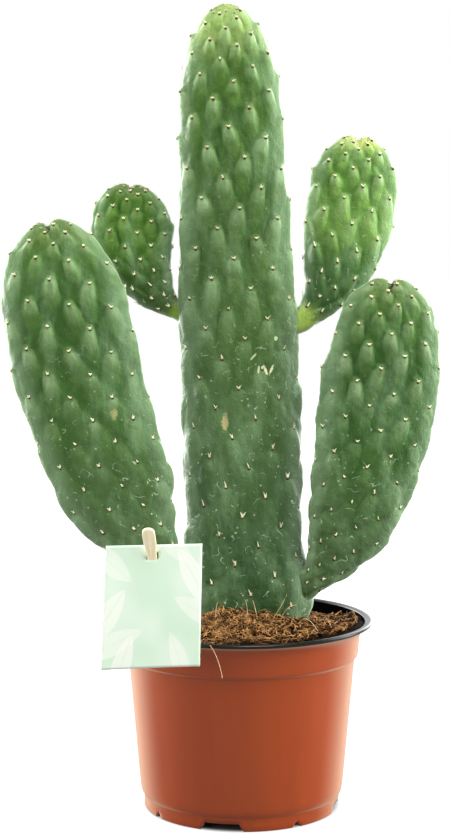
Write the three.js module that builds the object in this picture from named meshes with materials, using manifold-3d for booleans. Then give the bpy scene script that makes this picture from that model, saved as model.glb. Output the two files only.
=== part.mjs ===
// A potted prickly pear: one upright stem, two large pads, two small pads, soil, pot and a label on a stake.
// Millimetres, +Z up. Everything is laid out around the pot's axis, with the viewer on the -Y side.
import * as THREE from 'three';
import { mergeVertices } from 'three/addons/utils/BufferGeometryUtils.js';
import Module from 'manifold-3d';

const wasm = await Module();
wasm.setup();

// Clearance between pieces that meet, and the depth by which a spine's root sits in the skin.
const GAP = 0.35;
const SPINE_ROOT = 1.2;
const SPINE_LENGTH = 2.8;
const SPINE_RADIUS = 0.65;
const SPINE_LIFT = 0.35;
const LOWEST_SPINE = 16;
const JOINT_CLEARANCE = 6;

// The pot, a 17 cm nursery pot.
const POT_HEIGHT = 123.6;
const RIM_RADIUS = 85;
const FLOOR_TOP = 7.2;
const FLOOR_UNDERSIDE = 5.6;
const FOOT_RADIUS = 63.6;
const FOOT_INNER = 58.6;
const POT_SIDES = 42;

// Drain gaps and moulding notches share the foot ring in eight equal steps.
const DRAIN_FIRST = -12;
const NOTCH_FIRST = 33;
const FOOT_REPEATS = 4;
const CUT_START = 48;
const CUT_DEPTH = 24;
const FOOT_CUTS = [
  { first: DRAIN_FIRST, bottom: 14.2, top: 11.2, height: 5.2 },
  { first: NOTCH_FIRST, bottom: 3.2, top: 0.4, height: 3.8 },
];

// The soil: level near the wall, a mound round the stem, lower at the back.
const SOIL_LEVEL = 117;
const SOIL_MOUND = { height: 13, x: -4, y: -14, wide: 46, deep: 34 };
const SOIL_BACK = { drop: 5, reach: 60 };
const SOIL_LUMPS = { broad: 0.8, fine: 0.5, wideWave: 0.21, deepWave: 0.17, fineWave: 0.33, slant: 0.12 };
const SOIL_WALL_HEIGHTS = [14.5, 99.4, 102.2];
const SOIL_EDGE = 110;
const SOIL_RINGS = [0.93, 0.78, 0.62, 0.45, 0.25];
const SOIL_SIDES = 32;

// The label: a card hung on a flat stake that leans out over the rim.
const CARD_THICKNESS = 0.8;
const CARD_Y = -86;
const CARD_CORNERS = [
  [-86.4, 108.9],
  [-26.2, 111.3],
  [-24.6, 186.6],
  [-83.0, 185.2],
];
const CARD_ROUND = 1.2;
const STAKE_THICKNESS = 2;
const STAKE_TOP = new THREE.Vector3(-57.2, -97.3, 197.6);
const STAKE_SOIL = new THREE.Vector3(-48.4, -52, 120);
const STAKE_BELOW_SOIL = 24;
const STAKE_HALF_WIDTH = 3.9;
const STAKE_NECK_HALF_WIDTH = 3;
const STAKE_TURN = 0.09;
const STAKE_HEAD = [[0.45, 0], [0.85, 1.6], [1, 4.4], [1, 11]];
const STAKE_NECK = [17, 27];
const STAKE_SHOULDER = 33;
const STAKE_TAPER = { from: 12, width: 0.96, point: 0.3 };

// Stem segments. path: a Bezier centreline. widths and thicknesses: [share of the length, value].
// cap: the length over which the tip rounds off.
// areoles: turn per areole in shares of the girth, and rise per areole, which shrinks near the tip.
// bumps: the tubercles' height on old and on young skin. SINK lowers the skin by a share of it.
// joints: where another segment grows from this one, with the height and radius of the swelling there.
const TUBERCLE_TAIL = 27;
const TUBERCLE_SHOULDER = 4;
const TUBERCLE_HALF_WIDTH = 5.2;
const TUBERCLE_CLIMB = 1.3;
const YOUNG = { from: 0.25, to: 0.9, narrow: 0.55, low: 0.5 };
const SINK = 0.5;
const TIP_FADE = 9;
const TIP_ROOM = 2.5;
const SECTION_POWER = 2.2;
const GIRTH_STEPS = 720;
const NORMAL_STEP = { share: 0.004, distance: 0.5, inset: 0.6 };

const TRUNK = {
  name: 'trunk',
  color: 0x4f7a45,
  path: [[1, 0, 84], [3.5, 0, 235], [-5.5, 0, 379], [-10, 1, 519]],
  embed: 0,
  foot: 22,
  widths: [[0, 30], [0.08, 37.1], [0.25, 37.7], [0.42, 38.4], [0.55, 37.2], [0.76, 34.5], [1, 31.6]],
  cap: 70,
  thick: 14,
  thicknesses: [[0, 0.85], [0.2, 1], [0.6, 0.95], [0.85, 0.85], [1, 0.8]],
  thickCap: 40,
  areoles: { turn: 0.3824, rise: 2.44, first: 0.4882, start: 19.8, tip: 81, crowd: 0.416 },
  bumps: [0.8, 2.6],
  joints: [
    { at: [-38, 0, 149], height: 3, radius: 17 },
    { at: [38, 0, 148], height: 4, radius: 18 },
    { at: [-37, 0, 131], height: 3, radius: 15 },
    { at: [37, 0, 131], height: 5, radius: 15 },
    { at: [-38, 2, 323], height: 2.5, radius: 13 },
    { at: [38, 2, 320], height: 2.5, radius: 13 },
  ],
  columns: 26,
  rows: 58,
  spineStep: 3,
  bareBelow: 136,
};

const PAD_LOWER_LEFT = {
  name: 'pad_lower_left',
  color: 0x4a7a48,
  path: [[-37, -3, 146], [-55, -12, 158.4], [-101.3, -20, 216], [-121.2, -20, 383]],
  embed: 7,
  foot: 0,
  widths: [[0, 10], [0.06, 12.2], [0.14, 21.1], [0.28, 35.2], [0.45, 39], [0.65, 41.2], [0.8, 39.2], [1, 33]],
  cap: 50,
  thick: 10.5,
  thicknesses: [[0, 0.62], [0.1, 0.7], [0.35, 1], [0.8, 1], [1, 0.85]],
  thickCap: 30,
  notch: { depth: 5, at: -2, width: 5, reach: 9 },
  areoles: { turn: 0.3819, rise: 2.2044, first: 0.6168, start: 8.2, tip: 41.7, crowd: 0.29 },
  bumps: [0.6, 2.1],
  joints: [],
  columns: 24,
  rows: 36,
  spineStep: 3,
  bareBelow: 0,
};

const PAD_LOWER_RIGHT = {
  name: 'pad_lower_right',
  color: 0x4a7a42,
  path: [[36, -3, 146.5], [62.8, -10, 149.7], [86.2, -18, 210], [94, -20, 346.6]],
  embed: 7,
  foot: 0,
  widths: [[0, 11], [0.06, 9.5], [0.14, 17.3], [0.25, 27.3], [0.4, 33.1], [0.6, 36.8], [0.75, 36.3], [1, 24]],
  cap: 24,
  thick: 10.5,
  thicknesses: [[0, 0.62], [0.1, 0.7], [0.35, 1], [0.8, 1], [1, 0.85]],
  thickCap: 24,
  notch: { depth: 5, at: 0, width: 5, reach: 9 },
  areoles: { turn: 0.3826, rise: 1.8725, first: 0.2702, start: 7.9, tip: 55.3, crowd: 0.48 },
  bumps: [0.6, 1.8],
  joints: [],
  columns: 24,
  rows: 32,
  spineStep: 3,
  bareBelow: 0,
};

const PAD_UPPER_LEFT = {
  name: 'pad_upper_left',
  color: 0x5d8f45,
  path: [[-37, 2, 321], [-53.4, 6, 330.2], [-76.4, 11, 352.6], [-71.5, 12, 406]],
  embed: 6,
  foot: 0,
  widths: [[0, 5], [0.07, 5.4], [0.25, 13], [0.45, 21.2], [0.65, 26.5], [0.8, 26], [1, 26]],
  cap: 27.5,
  thick: 7.5,
  thicknesses: [[0, 0.66], [0.1, 0.7], [0.35, 1], [0.8, 1], [1, 0.85]],
  thickCap: 20,
  notch: { depth: 3.5, at: 0, width: 4, reach: 7 },
  areoles: { turn: 0.3834, rise: 1.3938, first: 0.2655, start: 10, tip: 31.9, crowd: 0.26 },
  bumps: [0.7, 1.4],
  joints: [],
  columns: 20,
  rows: 22,
  spineStep: 3,
  bareBelow: 0,
};

const PAD_UPPER_RIGHT = {
  name: 'pad_upper_right',
  color: 0x6b9f4c,
  path: [[36, 2, 317.5], [55, 6, 327], [71, 10, 360.2], [75, 12, 437.3]],
  embed: 6,
  foot: 0,
  widths: [[0, 6], [0.07, 7.1], [0.2, 14.9], [0.4, 25], [0.6, 28.8], [0.75, 28.1], [1, 27.5]],
  cap: 36,
  thick: 8,
  thicknesses: [[0, 0.66], [0.1, 0.7], [0.35, 1], [0.8, 1], [1, 0.85]],
  thickCap: 22,
  notch: { depth: 4, at: 0, width: 4.5, reach: 8 },
  areoles: { turn: 0.3826, rise: 2.0104, first: 0.6087, start: 6.3, tip: 47, crowd: 0.22 },
  bumps: [0.7, 1.5],
  joints: [],
  columns: 20,
  rows: 26,
  spineStep: 3,
  bareBelow: 0,
};

// A three.js geometry as a solid, with its shared vertices merged and its collapsed triangles left out.
function toSolid(geometry) {
  const bare = geometry.clone();
  bare.deleteAttribute('normal');
  bare.deleteAttribute('uv');
  const merged = mergeVertices(bare, 1e-3);
  const vertProperties = new Float32Array(merged.attributes.position.array);
  const index = merged.index.array;
  const triVerts = [];
  for (let t = 0; t < index.length; t += 3) {
    const [a, b, c] = [index[t], index[t + 1], index[t + 2]];
    if (a !== b && b !== c && c !== a) {
      triVerts.push(a, b, c);
    }
  }
  const shape = { numProp: 3, vertProperties, triVerts: new Uint32Array(triVerts) };
  return new wasm.Manifold(new wasm.Mesh(shape));
}

function toMesh(name, solid, color, roughness) {
  const result = solid.getMesh();
  const geometry = new THREE.BufferGeometry();
  geometry.setAttribute('position', new THREE.BufferAttribute(new Float32Array(result.vertProperties), 3));
  geometry.setIndex(new THREE.BufferAttribute(new Uint32Array(result.triVerts), 1));
  geometry.computeVertexNormals();
  const mesh = new THREE.Mesh(geometry, new THREE.MeshStandardMaterial({ color, roughness, metalness: 0 }));
  mesh.name = name;
  return mesh;
}

// A geometry from a grid of points: rings from bottom to top, closed by one pole point at each end.
function ringGeometry(rings, bottom, top) {
  const count = rings[0].length;
  const positions = [bottom, ...rings.flat(), top].flatMap((p) => [p.x, p.y, p.z]);
  const index = [];
  const at = (ring, k) => 1 + ring * count + (k % count);
  const last = 1 + rings.length * count;
  for (let k = 0; k < count; k += 1) {
    index.push(0, at(0, k + 1), at(0, k));
    index.push(last, at(rings.length - 1, k), at(rings.length - 1, k + 1));
    for (let ring = 0; ring + 1 < rings.length; ring += 1) {
      index.push(at(ring, k), at(ring, k + 1), at(ring + 1, k + 1));
      index.push(at(ring, k), at(ring + 1, k + 1), at(ring + 1, k));
    }
  }
  const geometry = new THREE.BufferGeometry();
  geometry.setAttribute('position', new THREE.BufferAttribute(new Float32Array(positions), 3));
  geometry.setIndex(index);
  return geometry;
}

// A smooth value between [position, value] stations, with the slope at each station from its neighbours.
function through(stations, x) {
  const last = stations.length - 1;
  const slope = (k) => {
    const a = stations[Math.max(0, k - 1)];
    const b = stations[Math.min(last, k + 1)];
    return (b[1] - a[1]) / (b[0] - a[0]);
  };
  let k = 0;
  while (k < last - 1 && x > stations[k + 1][0]) {
    k += 1;
  }
  const step = stations[k + 1][0] - stations[k][0];
  const u = THREE.MathUtils.clamp((x - stations[k][0]) / step, 0, 1);
  const rest = 1 - u;
  const start = rest * rest * (1 + 2 * u) * stations[k][1] + rest * rest * u * step * slope(k);
  const end = u * u * (3 - 2 * u) * stations[k + 1][1] - u * u * rest * step * slope(k + 1);
  return start + end;
}

// A quarter ellipse that falls from 1 to 0 over the last stretch before an end.
function roundOff(left, reach) {
  if (reach <= 0) {
    return 1;
  }
  const k = THREE.MathUtils.clamp(left / reach, 0, 1);
  return Math.sqrt(Math.max(0, 1 - (1 - k) * (1 - k)));
}

const signedPower = (value, power) => Math.sign(value) * Math.abs(value) ** power;

// The angle at each share of a rounded-flat section's girth, so that columns lie equally far apart.
function girthTable(ratio) {
  const steps = GIRTH_STEPS;
  const shares = [0];
  const corner = (angle) => [
    signedPower(Math.cos(angle), 2 / SECTION_POWER),
    ratio * signedPower(Math.sin(angle), 2 / SECTION_POWER),
  ];
  for (let k = 1; k <= steps; k += 1) {
    const a = corner((2 * Math.PI * (k - 1)) / steps);
    const b = corner((2 * Math.PI * k) / steps);
    shares.push(shares[k - 1] + Math.hypot(b[0] - a[0], b[1] - a[1]));
  }
  const girth = shares[steps];
  return { steps, girth, shares: shares.map((s) => s / girth) };
}

class Stem {
  constructor(spec) {
    this.spec = spec;
    this.curve = new THREE.CubicBezierCurve3(...spec.path.map((p) => new THREE.Vector3(...p)));
    this.curve.arcLengthDivisions = 400;
    this.length = this.curve.getLength();
    this.widest = Math.max(...spec.widths.map((w) => w[1]));
    this.table = girthTable(spec.thick / this.widest);
    this.areoles = this.placeAreoles();
  }

  // Areoles climb the stem on one spiral. Each turns by a fixed share of the girth.
  placeAreoles() {
    const { turn, rise, first, start, tip, crowd } = this.spec.areoles;
    const list = [];
    let distance = start;
    let share = first;
    while (this.length - distance > TIP_ROOM) {
      const young = Math.min(1, crowd + ((1 - crowd) * (this.length - distance)) / tip);
      list.push({ share: share - Math.floor(share), distance, young });
      distance += rise * young;
      share += turn;
    }
    return list;
  }

  angle(share) {
    const { steps, shares } = this.table;
    const wrapped = share - Math.floor(share);
    let low = 0;
    let high = steps;
    while (high - low > 1) {
      const middle = (low + high) >> 1;
      if (shares[middle] <= wrapped) {
        low = middle;
      } else {
        high = middle;
      }
    }
    const part = (wrapped - shares[low]) / (shares[high] - shares[low]);
    return (2 * Math.PI * (low + part)) / steps;
  }

  halfWidth(distance) {
    const share = THREE.MathUtils.clamp(distance / this.length, 0, 1);
    const ends = roundOff(this.length - distance, this.spec.cap) * roundOff(distance, this.spec.foot);
    return through(this.spec.widths, share) * ends;
  }

  halfThickness(distance) {
    const share = THREE.MathUtils.clamp(distance / this.length, 0, 1);
    const ends = roundOff(this.length - distance, this.spec.thickCap) * roundOff(distance, this.spec.foot);
    return through(this.spec.thicknesses, share) * this.spec.thick * ends;
  }

  // The smooth surface: a rounded-flat section square to the centreline, with the tip drawn in at the notch.
  smoothPoint(share, distance) {
    const u = THREE.MathUtils.clamp(distance / this.length, 0, 1);
    const centre = this.curve.getPointAt(u);
    const along = this.curve.getTangentAt(u);
    if (distance < 0) {
      centre.addScaledVector(along, distance);
    }
    const side = new THREE.Vector3().crossVectors(along, new THREE.Vector3(0, -1, 0)).normalize();
    const front = new THREE.Vector3().crossVectors(side, along);
    const angle = this.angle(share);
    const x = this.halfWidth(distance) * signedPower(Math.cos(angle), 2 / SECTION_POWER);
    const y = this.halfThickness(distance) * signedPower(Math.sin(angle), 2 / SECTION_POWER);
    const point = centre.addScaledVector(side, x).addScaledVector(front, y);
    if (this.spec.notch) {
      const { depth, at, width, reach } = this.spec.notch;
      const across = (x - at) / width;
      const down = (this.length - distance) / reach;
      point.addScaledVector(along, -depth * Math.exp(-across * across - down * down));
    }
    return point;
  }

  normal(share, distance) {
    const { inset, share: turn, distance: climb } = NORMAL_STEP;
    const d = THREE.MathUtils.clamp(distance, inset, this.length - inset);
    const round = this.smoothPoint(share + turn, d).sub(this.smoothPoint(share - turn, d));
    const up = this.smoothPoint(share, d + climb).sub(this.smoothPoint(share, d - climb));
    return up.cross(round).normalize();
  }

  // How tall a tubercle is: low on old skin near the base, tall on young skin, and nothing at the very tip.
  bumpHeight(distance) {
    const [low, high] = this.spec.bumps;
    const left = (this.length - distance) / TIP_FADE;
    const youth = THREE.MathUtils.smoothstep(distance / this.length, YOUNG.from, YOUNG.to);
    return (low + (high - low) * youth) * (1 - Math.exp(-left * left));
  }

  // The height of the tubercles: a long tail that climbs to the areole and breaks off just above it.
  relief(share, distance) {
    const girth = this.table.girth * this.halfWidth(distance);
    let best = 0;
    for (const areole of this.areoles) {
      const above = distance - areole.distance;
      const tail = TUBERCLE_TAIL * areole.young;
      const shoulder = TUBERCLE_SHOULDER * areole.young;
      if (above < shoulder && above > -tail) {
        let turn = share - areole.share;
        turn -= Math.round(turn);
        const narrow = YOUNG.narrow + (1 - YOUNG.narrow) * areole.young;
        const wide = (turn * girth) / (TUBERCLE_HALF_WIDTH * narrow);
        const climb = above > 0 ? 1 - above / shoulder : 1 + above / tail;
        const height = this.bumpHeight(distance) * (YOUNG.low + (1 - YOUNG.low) * areole.young);
        best = Math.max(best, height * climb ** TUBERCLE_CLIMB * Math.exp(-wide * wide));
      }
    }
    return best;
  }

  surfacePoint(share, distance, grow) {
    const point = this.smoothPoint(share, distance);
    let rise = this.relief(share, distance) - SINK * this.bumpHeight(distance) + grow;
    for (const joint of this.spec.joints) {
      const away = point.distanceTo(new THREE.Vector3(...joint.at)) / joint.radius;
      rise += joint.height * Math.exp(-away * away);
    }
    return point.addScaledVector(this.normal(share, distance), rise);
  }

  // Ring positions along the centreline, closer together where the ends round off.
  ringDistances() {
    const { rows, cap, embed, foot } = this.spec;
    const capRun = (Math.PI / 2) * Math.sqrt((cap * cap + this.widest * this.widest) / 2);
    const footRun = foot > 0 ? (Math.PI / 2) * Math.sqrt((foot * foot + this.widest * this.widest) / 2) : 0;
    const straight = this.length + embed - cap - foot;
    const total = footRun + straight + capRun;
    const list = [];
    for (let row = 1; row < rows; row += 1) {
      const run = (total * row) / rows;
      if (run < footRun) {
        list.push(foot * (1 - Math.cos((Math.PI / 2) * (run / footRun))));
      } else if (run < footRun + straight) {
        list.push(foot - embed + (run - footRun));
      } else {
        list.push(this.length - cap + cap * Math.sin((Math.PI / 2) * ((run - footRun - straight) / capRun)));
      }
    }
    if (foot === 0) {
      list.unshift(-embed);
    }
    return list;
  }

  // The skin as a solid. The grid point nearest to each areole moves onto it, to give the tubercle its peak.
  skin(grow) {
    const distances = this.ringDistances();
    const { columns } = this.spec;
    const shares = Array.from({ length: columns }, (_, k) => k / columns);
    const grid = distances.map((distance) => shares.map((share) => [share, distance]));
    const taken = new Set();
    for (const areole of this.areoles) {
      let row = 0;
      distances.forEach((distance, k) => {
        if (Math.abs(distance - areole.distance) < Math.abs(distances[row] - areole.distance)) {
          row = k;
        }
      });
      const column = Math.round(areole.share * columns);
      const place = `${row} ${column % columns}`;
      areole.peak = row > 0 && row < distances.length - 3 && !taken.has(place);
      if (areole.peak) {
        taken.add(place);
        const share = column === columns ? areole.share - 1 : areole.share;
        grid[row][column % columns] = [share, areole.distance];
      }
    }
    // Shares run clockwise seen from above, so each ring is turned round to make the faces point outwards.
    const pointAt = ([share, distance]) => this.surfacePoint(share, distance, grow);
    const rings = grid.map((ring) => ring.map(pointAt).reverse());
    const below = this.spec.embed + (this.spec.foot > 0 ? grow : 0);
    const bottom = this.curve.getPointAt(0).addScaledVector(this.curve.getTangentAt(0), -below);
    const top = this.smoothPoint(0, this.length).addScaledVector(this.curve.getTangentAt(1), grow);
    return toSolid(ringGeometry(rings, bottom, top));
  }

  // Three-sided spines, rooted in the skin at every few areoles that lie clear of the soil and of the joints.
  spines() {
    const shapes = [];
    const { spineStep, bareBelow, joints } = this.spec;
    for (let k = 0; k < this.areoles.length; k += spineStep) {
      const { share, distance, peak } = this.areoles[k];
      const inwards = -this.relief(share, distance) - SPINE_ROOT / 2;
      const point = this.surfacePoint(share, distance, peak ? 0 : inwards);
      const away = (joint) => point.distanceTo(new THREE.Vector3(...joint.at)) - joint.radius;
      const clear = joints.every((joint) => away(joint) > JOINT_CLEARANCE);
      if (clear && point.z > bareBelow && distance > LOWEST_SPINE) {
        const direction = this.normal(share, distance);
        direction.z += SPINE_LIFT;
        direction.normalize();
        const spine = new THREE.ConeGeometry(SPINE_RADIUS, SPINE_LENGTH + SPINE_ROOT, 3);
        spine.translate(0, (SPINE_LENGTH + SPINE_ROOT) / 2 - SPINE_ROOT, 0);
        const aim = new THREE.Quaternion().setFromUnitVectors(new THREE.Vector3(0, 1, 0), direction);
        spine.applyQuaternion(aim);
        spine.translate(point.x, point.y, point.z);
        shapes.push(toSolid(spine));
      }
    }
    return shapes;
  }

  // The skin comes first, because it settles which areoles have a peak of their own.
  solid() {
    const skin = this.skin(0);
    return this.spines().reduce((body, spine) => body.add(spine), skin);
  }
}

// The inner face of the pot's wall, as [height, radius], and the outer face from foot to rim.
const INNER_WALL = [
  [FLOOR_TOP, 62.4],
  [14.5, 65],
  [99.4, 72.7],
  [101.8, 74.7],
  [115, 76.2],
  [117.9, 77.8],
  [121.2, 79.6],
  [122.6, 80.7],
];
const OUTER_WALL = [
  [0, FOOT_RADIUS],
  [8.6, 64],
  [10.6, 65.6],
  [14, 66.3],
  [99.4, 74],
  [101.4, 76],
  [114.6, 77.4],
  [117.7, 78.7],
  [120, 81.1],
  [121.1, RIM_RADIUS - 0.6],
  [122.2, RIM_RADIUS],
  [123.1, RIM_RADIUS - 0.5],
  [POT_HEIGHT, RIM_RADIUS - 1.8],
  [POT_HEIGHT - 0.3, 81.6],
];

function innerRadius(height) {
  for (let k = 0; k + 1 < INNER_WALL.length; k += 1) {
    const [low, a] = INNER_WALL[k];
    const [high, b] = INNER_WALL[k + 1];
    if (height <= high) {
      return a + ((b - a) * (height - low)) / (high - low);
    }
  }
  return INNER_WALL[INNER_WALL.length - 1][1];
}

// A direction away from the pot's axis, with 0 degrees toward the viewer and 90 degrees to the right.
function outward(degrees) {
  const angle = THREE.MathUtils.degToRad(degrees);
  return new THREE.Vector3(Math.sin(angle), -Math.cos(angle), 0);
}

function makePot() {
  const profile = [[FLOOR_UNDERSIDE, 0], [FLOOR_UNDERSIDE, FOOT_INNER], [0, FOOT_INNER + 0.4]];
  profile.push(...OUTER_WALL, ...[...INNER_WALL].reverse(), [FLOOR_TOP, 0]);
  const lathe = new THREE.LatheGeometry(profile.map(([z, r]) => new THREE.Vector2(r, z)), POT_SIDES);
  lathe.rotateX(Math.PI / 2);
  let body = toSolid(lathe);
  for (const cut of FOOT_CUTS) {
    for (let k = 0; k < FOOT_REPEATS; k += 1) {
      const away = outward(cut.first + (360 / FOOT_REPEATS) * k);
      const up = new THREE.Vector3(0, 0, 1);
      const across = new THREE.Vector3().crossVectors(up, away);
      const outline = new THREE.Shape([
        new THREE.Vector2(-cut.bottom, -1),
        new THREE.Vector2(cut.bottom, -1),
        new THREE.Vector2(cut.top, cut.height),
        new THREE.Vector2(-cut.top, cut.height),
      ]);
      const wedge = new THREE.ExtrudeGeometry(outline, { depth: CUT_DEPTH, bevelEnabled: false });
      const place = new THREE.Matrix4().makeBasis(across, up, away);
      wedge.applyMatrix4(place.setPosition(away.clone().multiplyScalar(CUT_START)));
      body = body.subtract(toSolid(wedge));
    }
  }
  return body;
}

function soilHeight(x, y) {
  const across = (x - SOIL_MOUND.x) / SOIL_MOUND.wide;
  const deep = (y - SOIL_MOUND.y) / SOIL_MOUND.deep;
  const mound = SOIL_MOUND.height * Math.exp(-across * across - deep * deep);
  const back = SOIL_BACK.drop * THREE.MathUtils.smoothstep(y, 0, SOIL_BACK.reach);
  const { broad, fine, wideWave, deepWave, fineWave, slant } = SOIL_LUMPS;
  const lumps = broad * Math.sin(wideWave * x + 1) * Math.cos(deepWave * y);
  const ripples = fine * Math.sin(fineWave * y - slant * x);
  return SOIL_LEVEL + mound - back + lumps + ripples;
}

function makeSoil() {
  const ringAt = (radius, height) => Array.from({ length: SOIL_SIDES }, (_, k) => {
    const away = outward((360 * k) / SOIL_SIDES).multiplyScalar(radius);
    return away.setZ(height ?? soilHeight(away.x, away.y));
  });
  const floor = FLOOR_TOP + GAP;
  const rings = [ringAt(innerRadius(floor) - GAP, floor)];
  for (const height of [...SOIL_WALL_HEIGHTS, SOIL_EDGE]) {
    rings.push(ringAt(innerRadius(height) - GAP, height));
  }
  rings.push(ringAt(innerRadius(SOIL_EDGE) - GAP));
  for (const share of SOIL_RINGS) {
    rings.push(ringAt(innerRadius(SOIL_EDGE) * share));
  }
  const centre = new THREE.Vector3(0, 0, soilHeight(0, 0));
  return toSolid(ringGeometry(rings, new THREE.Vector3(0, 0, floor), centre));
}

// The flat stake: an outline along its length, extruded to its thickness. grow widens it on every side.
function makeStake(grow) {
  const down = STAKE_SOIL.clone().sub(STAKE_TOP);
  const whole = down.length() + STAKE_BELOW_SOIL;
  down.normalize();
  const across = new THREE.Vector3(Math.cos(STAKE_TURN), 0, 0).addScaledVector(down, -down.x).normalize();
  const through = new THREE.Vector3().crossVectors(across, down);
  const wide = STAKE_HALF_WIDTH + grow;
  const neck = STAKE_NECK_HALF_WIDTH + grow;
  const side = STAKE_HEAD.map(([share, at]) => [wide * share, at]);
  side[0][1] -= grow;
  side.push(...STAKE_NECK.map((at) => [neck, at]), [wide, STAKE_SHOULDER]);
  side.push([wide * STAKE_TAPER.width, whole - STAKE_TAPER.from], [wide * STAKE_TAPER.point, whole + grow]);
  const outline = new THREE.Shape();
  outline.moveTo(side[0][0], side[0][1]);
  side.slice(1).forEach(([x, y]) => outline.lineTo(x, y));
  [...side].reverse().forEach(([x, y]) => outline.lineTo(-x, y));
  const depth = STAKE_THICKNESS + 2 * grow;
  const stick = new THREE.ExtrudeGeometry(outline, { depth, bevelEnabled: false });
  stick.translate(0, 0, -depth / 2);
  stick.applyMatrix4(new THREE.Matrix4().makeBasis(across, down, through).setPosition(STAKE_TOP));
  return toSolid(stick);
}

function makeCard() {
  const outline = new THREE.Shape();
  const count = CARD_CORNERS.length;
  CARD_CORNERS.forEach(([x, z], k) => {
    const corner = new THREE.Vector2(x, z);
    const toward = (other) => new THREE.Vector2(...other).sub(corner).setLength(CARD_ROUND).add(corner);
    const before = toward(CARD_CORNERS[(k + count - 1) % count]);
    const after = toward(CARD_CORNERS[(k + 1) % count]);
    if (k === 0) {
      outline.moveTo(before.x, before.y);
    } else {
      outline.lineTo(before.x, before.y);
    }
    outline.lineTo(after.x, after.y);
  });
  const sheet = new THREE.ExtrudeGeometry(outline, { depth: CARD_THICKNESS, bevelEnabled: false });
  sheet.rotateX(Math.PI / 2);
  sheet.translate(0, CARD_Y + CARD_THICKNESS / 2, 0);
  return toSolid(sheet).subtract(makeStake(GAP));
}

const trunk = new Stem(TRUNK);
const trunkRoom = trunk.skin(GAP);
const plant = new THREE.Group();
plant.add(toMesh('pot', makePot(), 0xa85432, 0.5));
plant.add(toMesh('soil', makeSoil().subtract(trunkRoom).subtract(makeStake(GAP)), 0x6b3f20, 1));
plant.add(toMesh(TRUNK.name, trunk.solid(), TRUNK.color, 0.55));
for (const spec of [PAD_LOWER_LEFT, PAD_LOWER_RIGHT, PAD_UPPER_LEFT, PAD_UPPER_RIGHT]) {
  plant.add(toMesh(spec.name, new Stem(spec).solid().subtract(trunkRoom), spec.color, 0.55));
}
plant.add(toMesh('label_stake', makeStake(0), 0xe8cfa4, 0.7));
plant.add(toMesh('label_card', makeCard(), 0xc8ecd0, 0.6));

// The origin is the middle of the bounding box's base.
const middle = new THREE.Box3().setFromObject(plant).getCenter(new THREE.Vector3());
plant.position.set(-middle.x, -middle.y, 0);

export default plant;
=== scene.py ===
# %% [markdown]
# # A potted prickly pear
# The plant has one upright stem and four flat side pads. It stands in a terracotta-coloured nursery pot of
# fibrous soil, with a pale card on a wooden stake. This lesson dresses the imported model: every growing
# thing is a surface worked out with numpy, and every finish is a node material. Shapes are given in
# millimetres round the pot's axis, and go into the meshes in metres.

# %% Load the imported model
import math
from types import SimpleNamespace

import bpy
import numpy as np
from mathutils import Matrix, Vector


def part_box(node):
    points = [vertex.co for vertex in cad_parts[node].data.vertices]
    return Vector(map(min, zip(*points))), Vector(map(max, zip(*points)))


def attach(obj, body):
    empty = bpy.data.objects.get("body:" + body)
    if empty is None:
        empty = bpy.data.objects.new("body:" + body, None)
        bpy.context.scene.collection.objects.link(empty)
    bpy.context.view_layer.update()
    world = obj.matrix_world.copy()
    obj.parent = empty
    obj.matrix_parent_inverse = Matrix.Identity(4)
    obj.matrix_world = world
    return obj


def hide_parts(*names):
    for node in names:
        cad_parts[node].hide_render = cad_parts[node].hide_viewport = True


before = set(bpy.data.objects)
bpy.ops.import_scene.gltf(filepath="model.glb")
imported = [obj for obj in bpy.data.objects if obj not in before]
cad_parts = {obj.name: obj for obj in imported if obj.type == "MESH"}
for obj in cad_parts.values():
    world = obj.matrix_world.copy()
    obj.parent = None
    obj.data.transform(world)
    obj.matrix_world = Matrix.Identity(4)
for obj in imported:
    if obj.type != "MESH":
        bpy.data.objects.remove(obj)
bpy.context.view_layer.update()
pot_low, pot_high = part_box("pot")
AXIS = np.array([(pot_low.x + pot_high.x) / 2, (pot_low.y + pot_high.y) / 2, 0.0]) * 1000
print("pot axis (mm):", AXIS.round(2), "rim height (mm):", round(pot_high.z * 1000, 2))

# %% [markdown]
# ## Camera
# The photograph is a tall product picture taken a little above the middle of the plant. The camera's
# height, tilt and lens were worked out from the pot's rim and foot, whose ellipses give the angle of view.
# A camera could be nudged by eye, but the two ellipses settle it exactly, so the pads then fall where they
# should.

# %% Camera
CAMERA_AT = np.array([-10.9, -1200.0, 368.5])
CAMERA_TILT = 0.0955
LENS = 79.76
SENSOR_WIDTH = 36


def to_metres(points):
    """Moves points from the pot's own axis to the model's frame, and turns millimetres into metres."""
    return (np.asarray(points, float) + AXIS) * 0.001


camera_data = bpy.data.cameras.new("camera")
camera_data.lens = LENS
camera_data.sensor_width = SENSOR_WIDTH
camera_data.clip_start = 0.01
camera = bpy.data.objects.new("camera", camera_data)
camera.location = to_metres(CAMERA_AT)
camera.rotation_euler = (math.pi / 2 - CAMERA_TILT, 0, 0)
bpy.context.scene.collection.objects.link(camera)
bpy.context.scene.camera = camera
print("camera at", [round(v, 3) for v in camera.location])

# %% [markdown]
# ## Meshes from grids
# A stem, a pot wall or a card is one sheet of points in rows and columns. The helper joins neighbouring
# points into four-sided faces, closes the sheet round, and closes its two ends with a pole point. Sculpting
# or a subdivided cage would also do, but a grid keeps each row at a known height on the plant.


# %% Grid mesh helpers
def grid_faces(rows, columns, closed=True):
    """Faces between neighbouring rows and columns. Closed joins the last column to the first."""
    last = columns if closed else columns - 1
    r, c = np.meshgrid(np.arange(rows - 1), np.arange(last), indexing="ij")
    a = r * columns + c
    b = r * columns + (c + 1) % columns
    return np.stack([a, b, b + columns, a + columns], -1).reshape(-1, 4)


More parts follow.
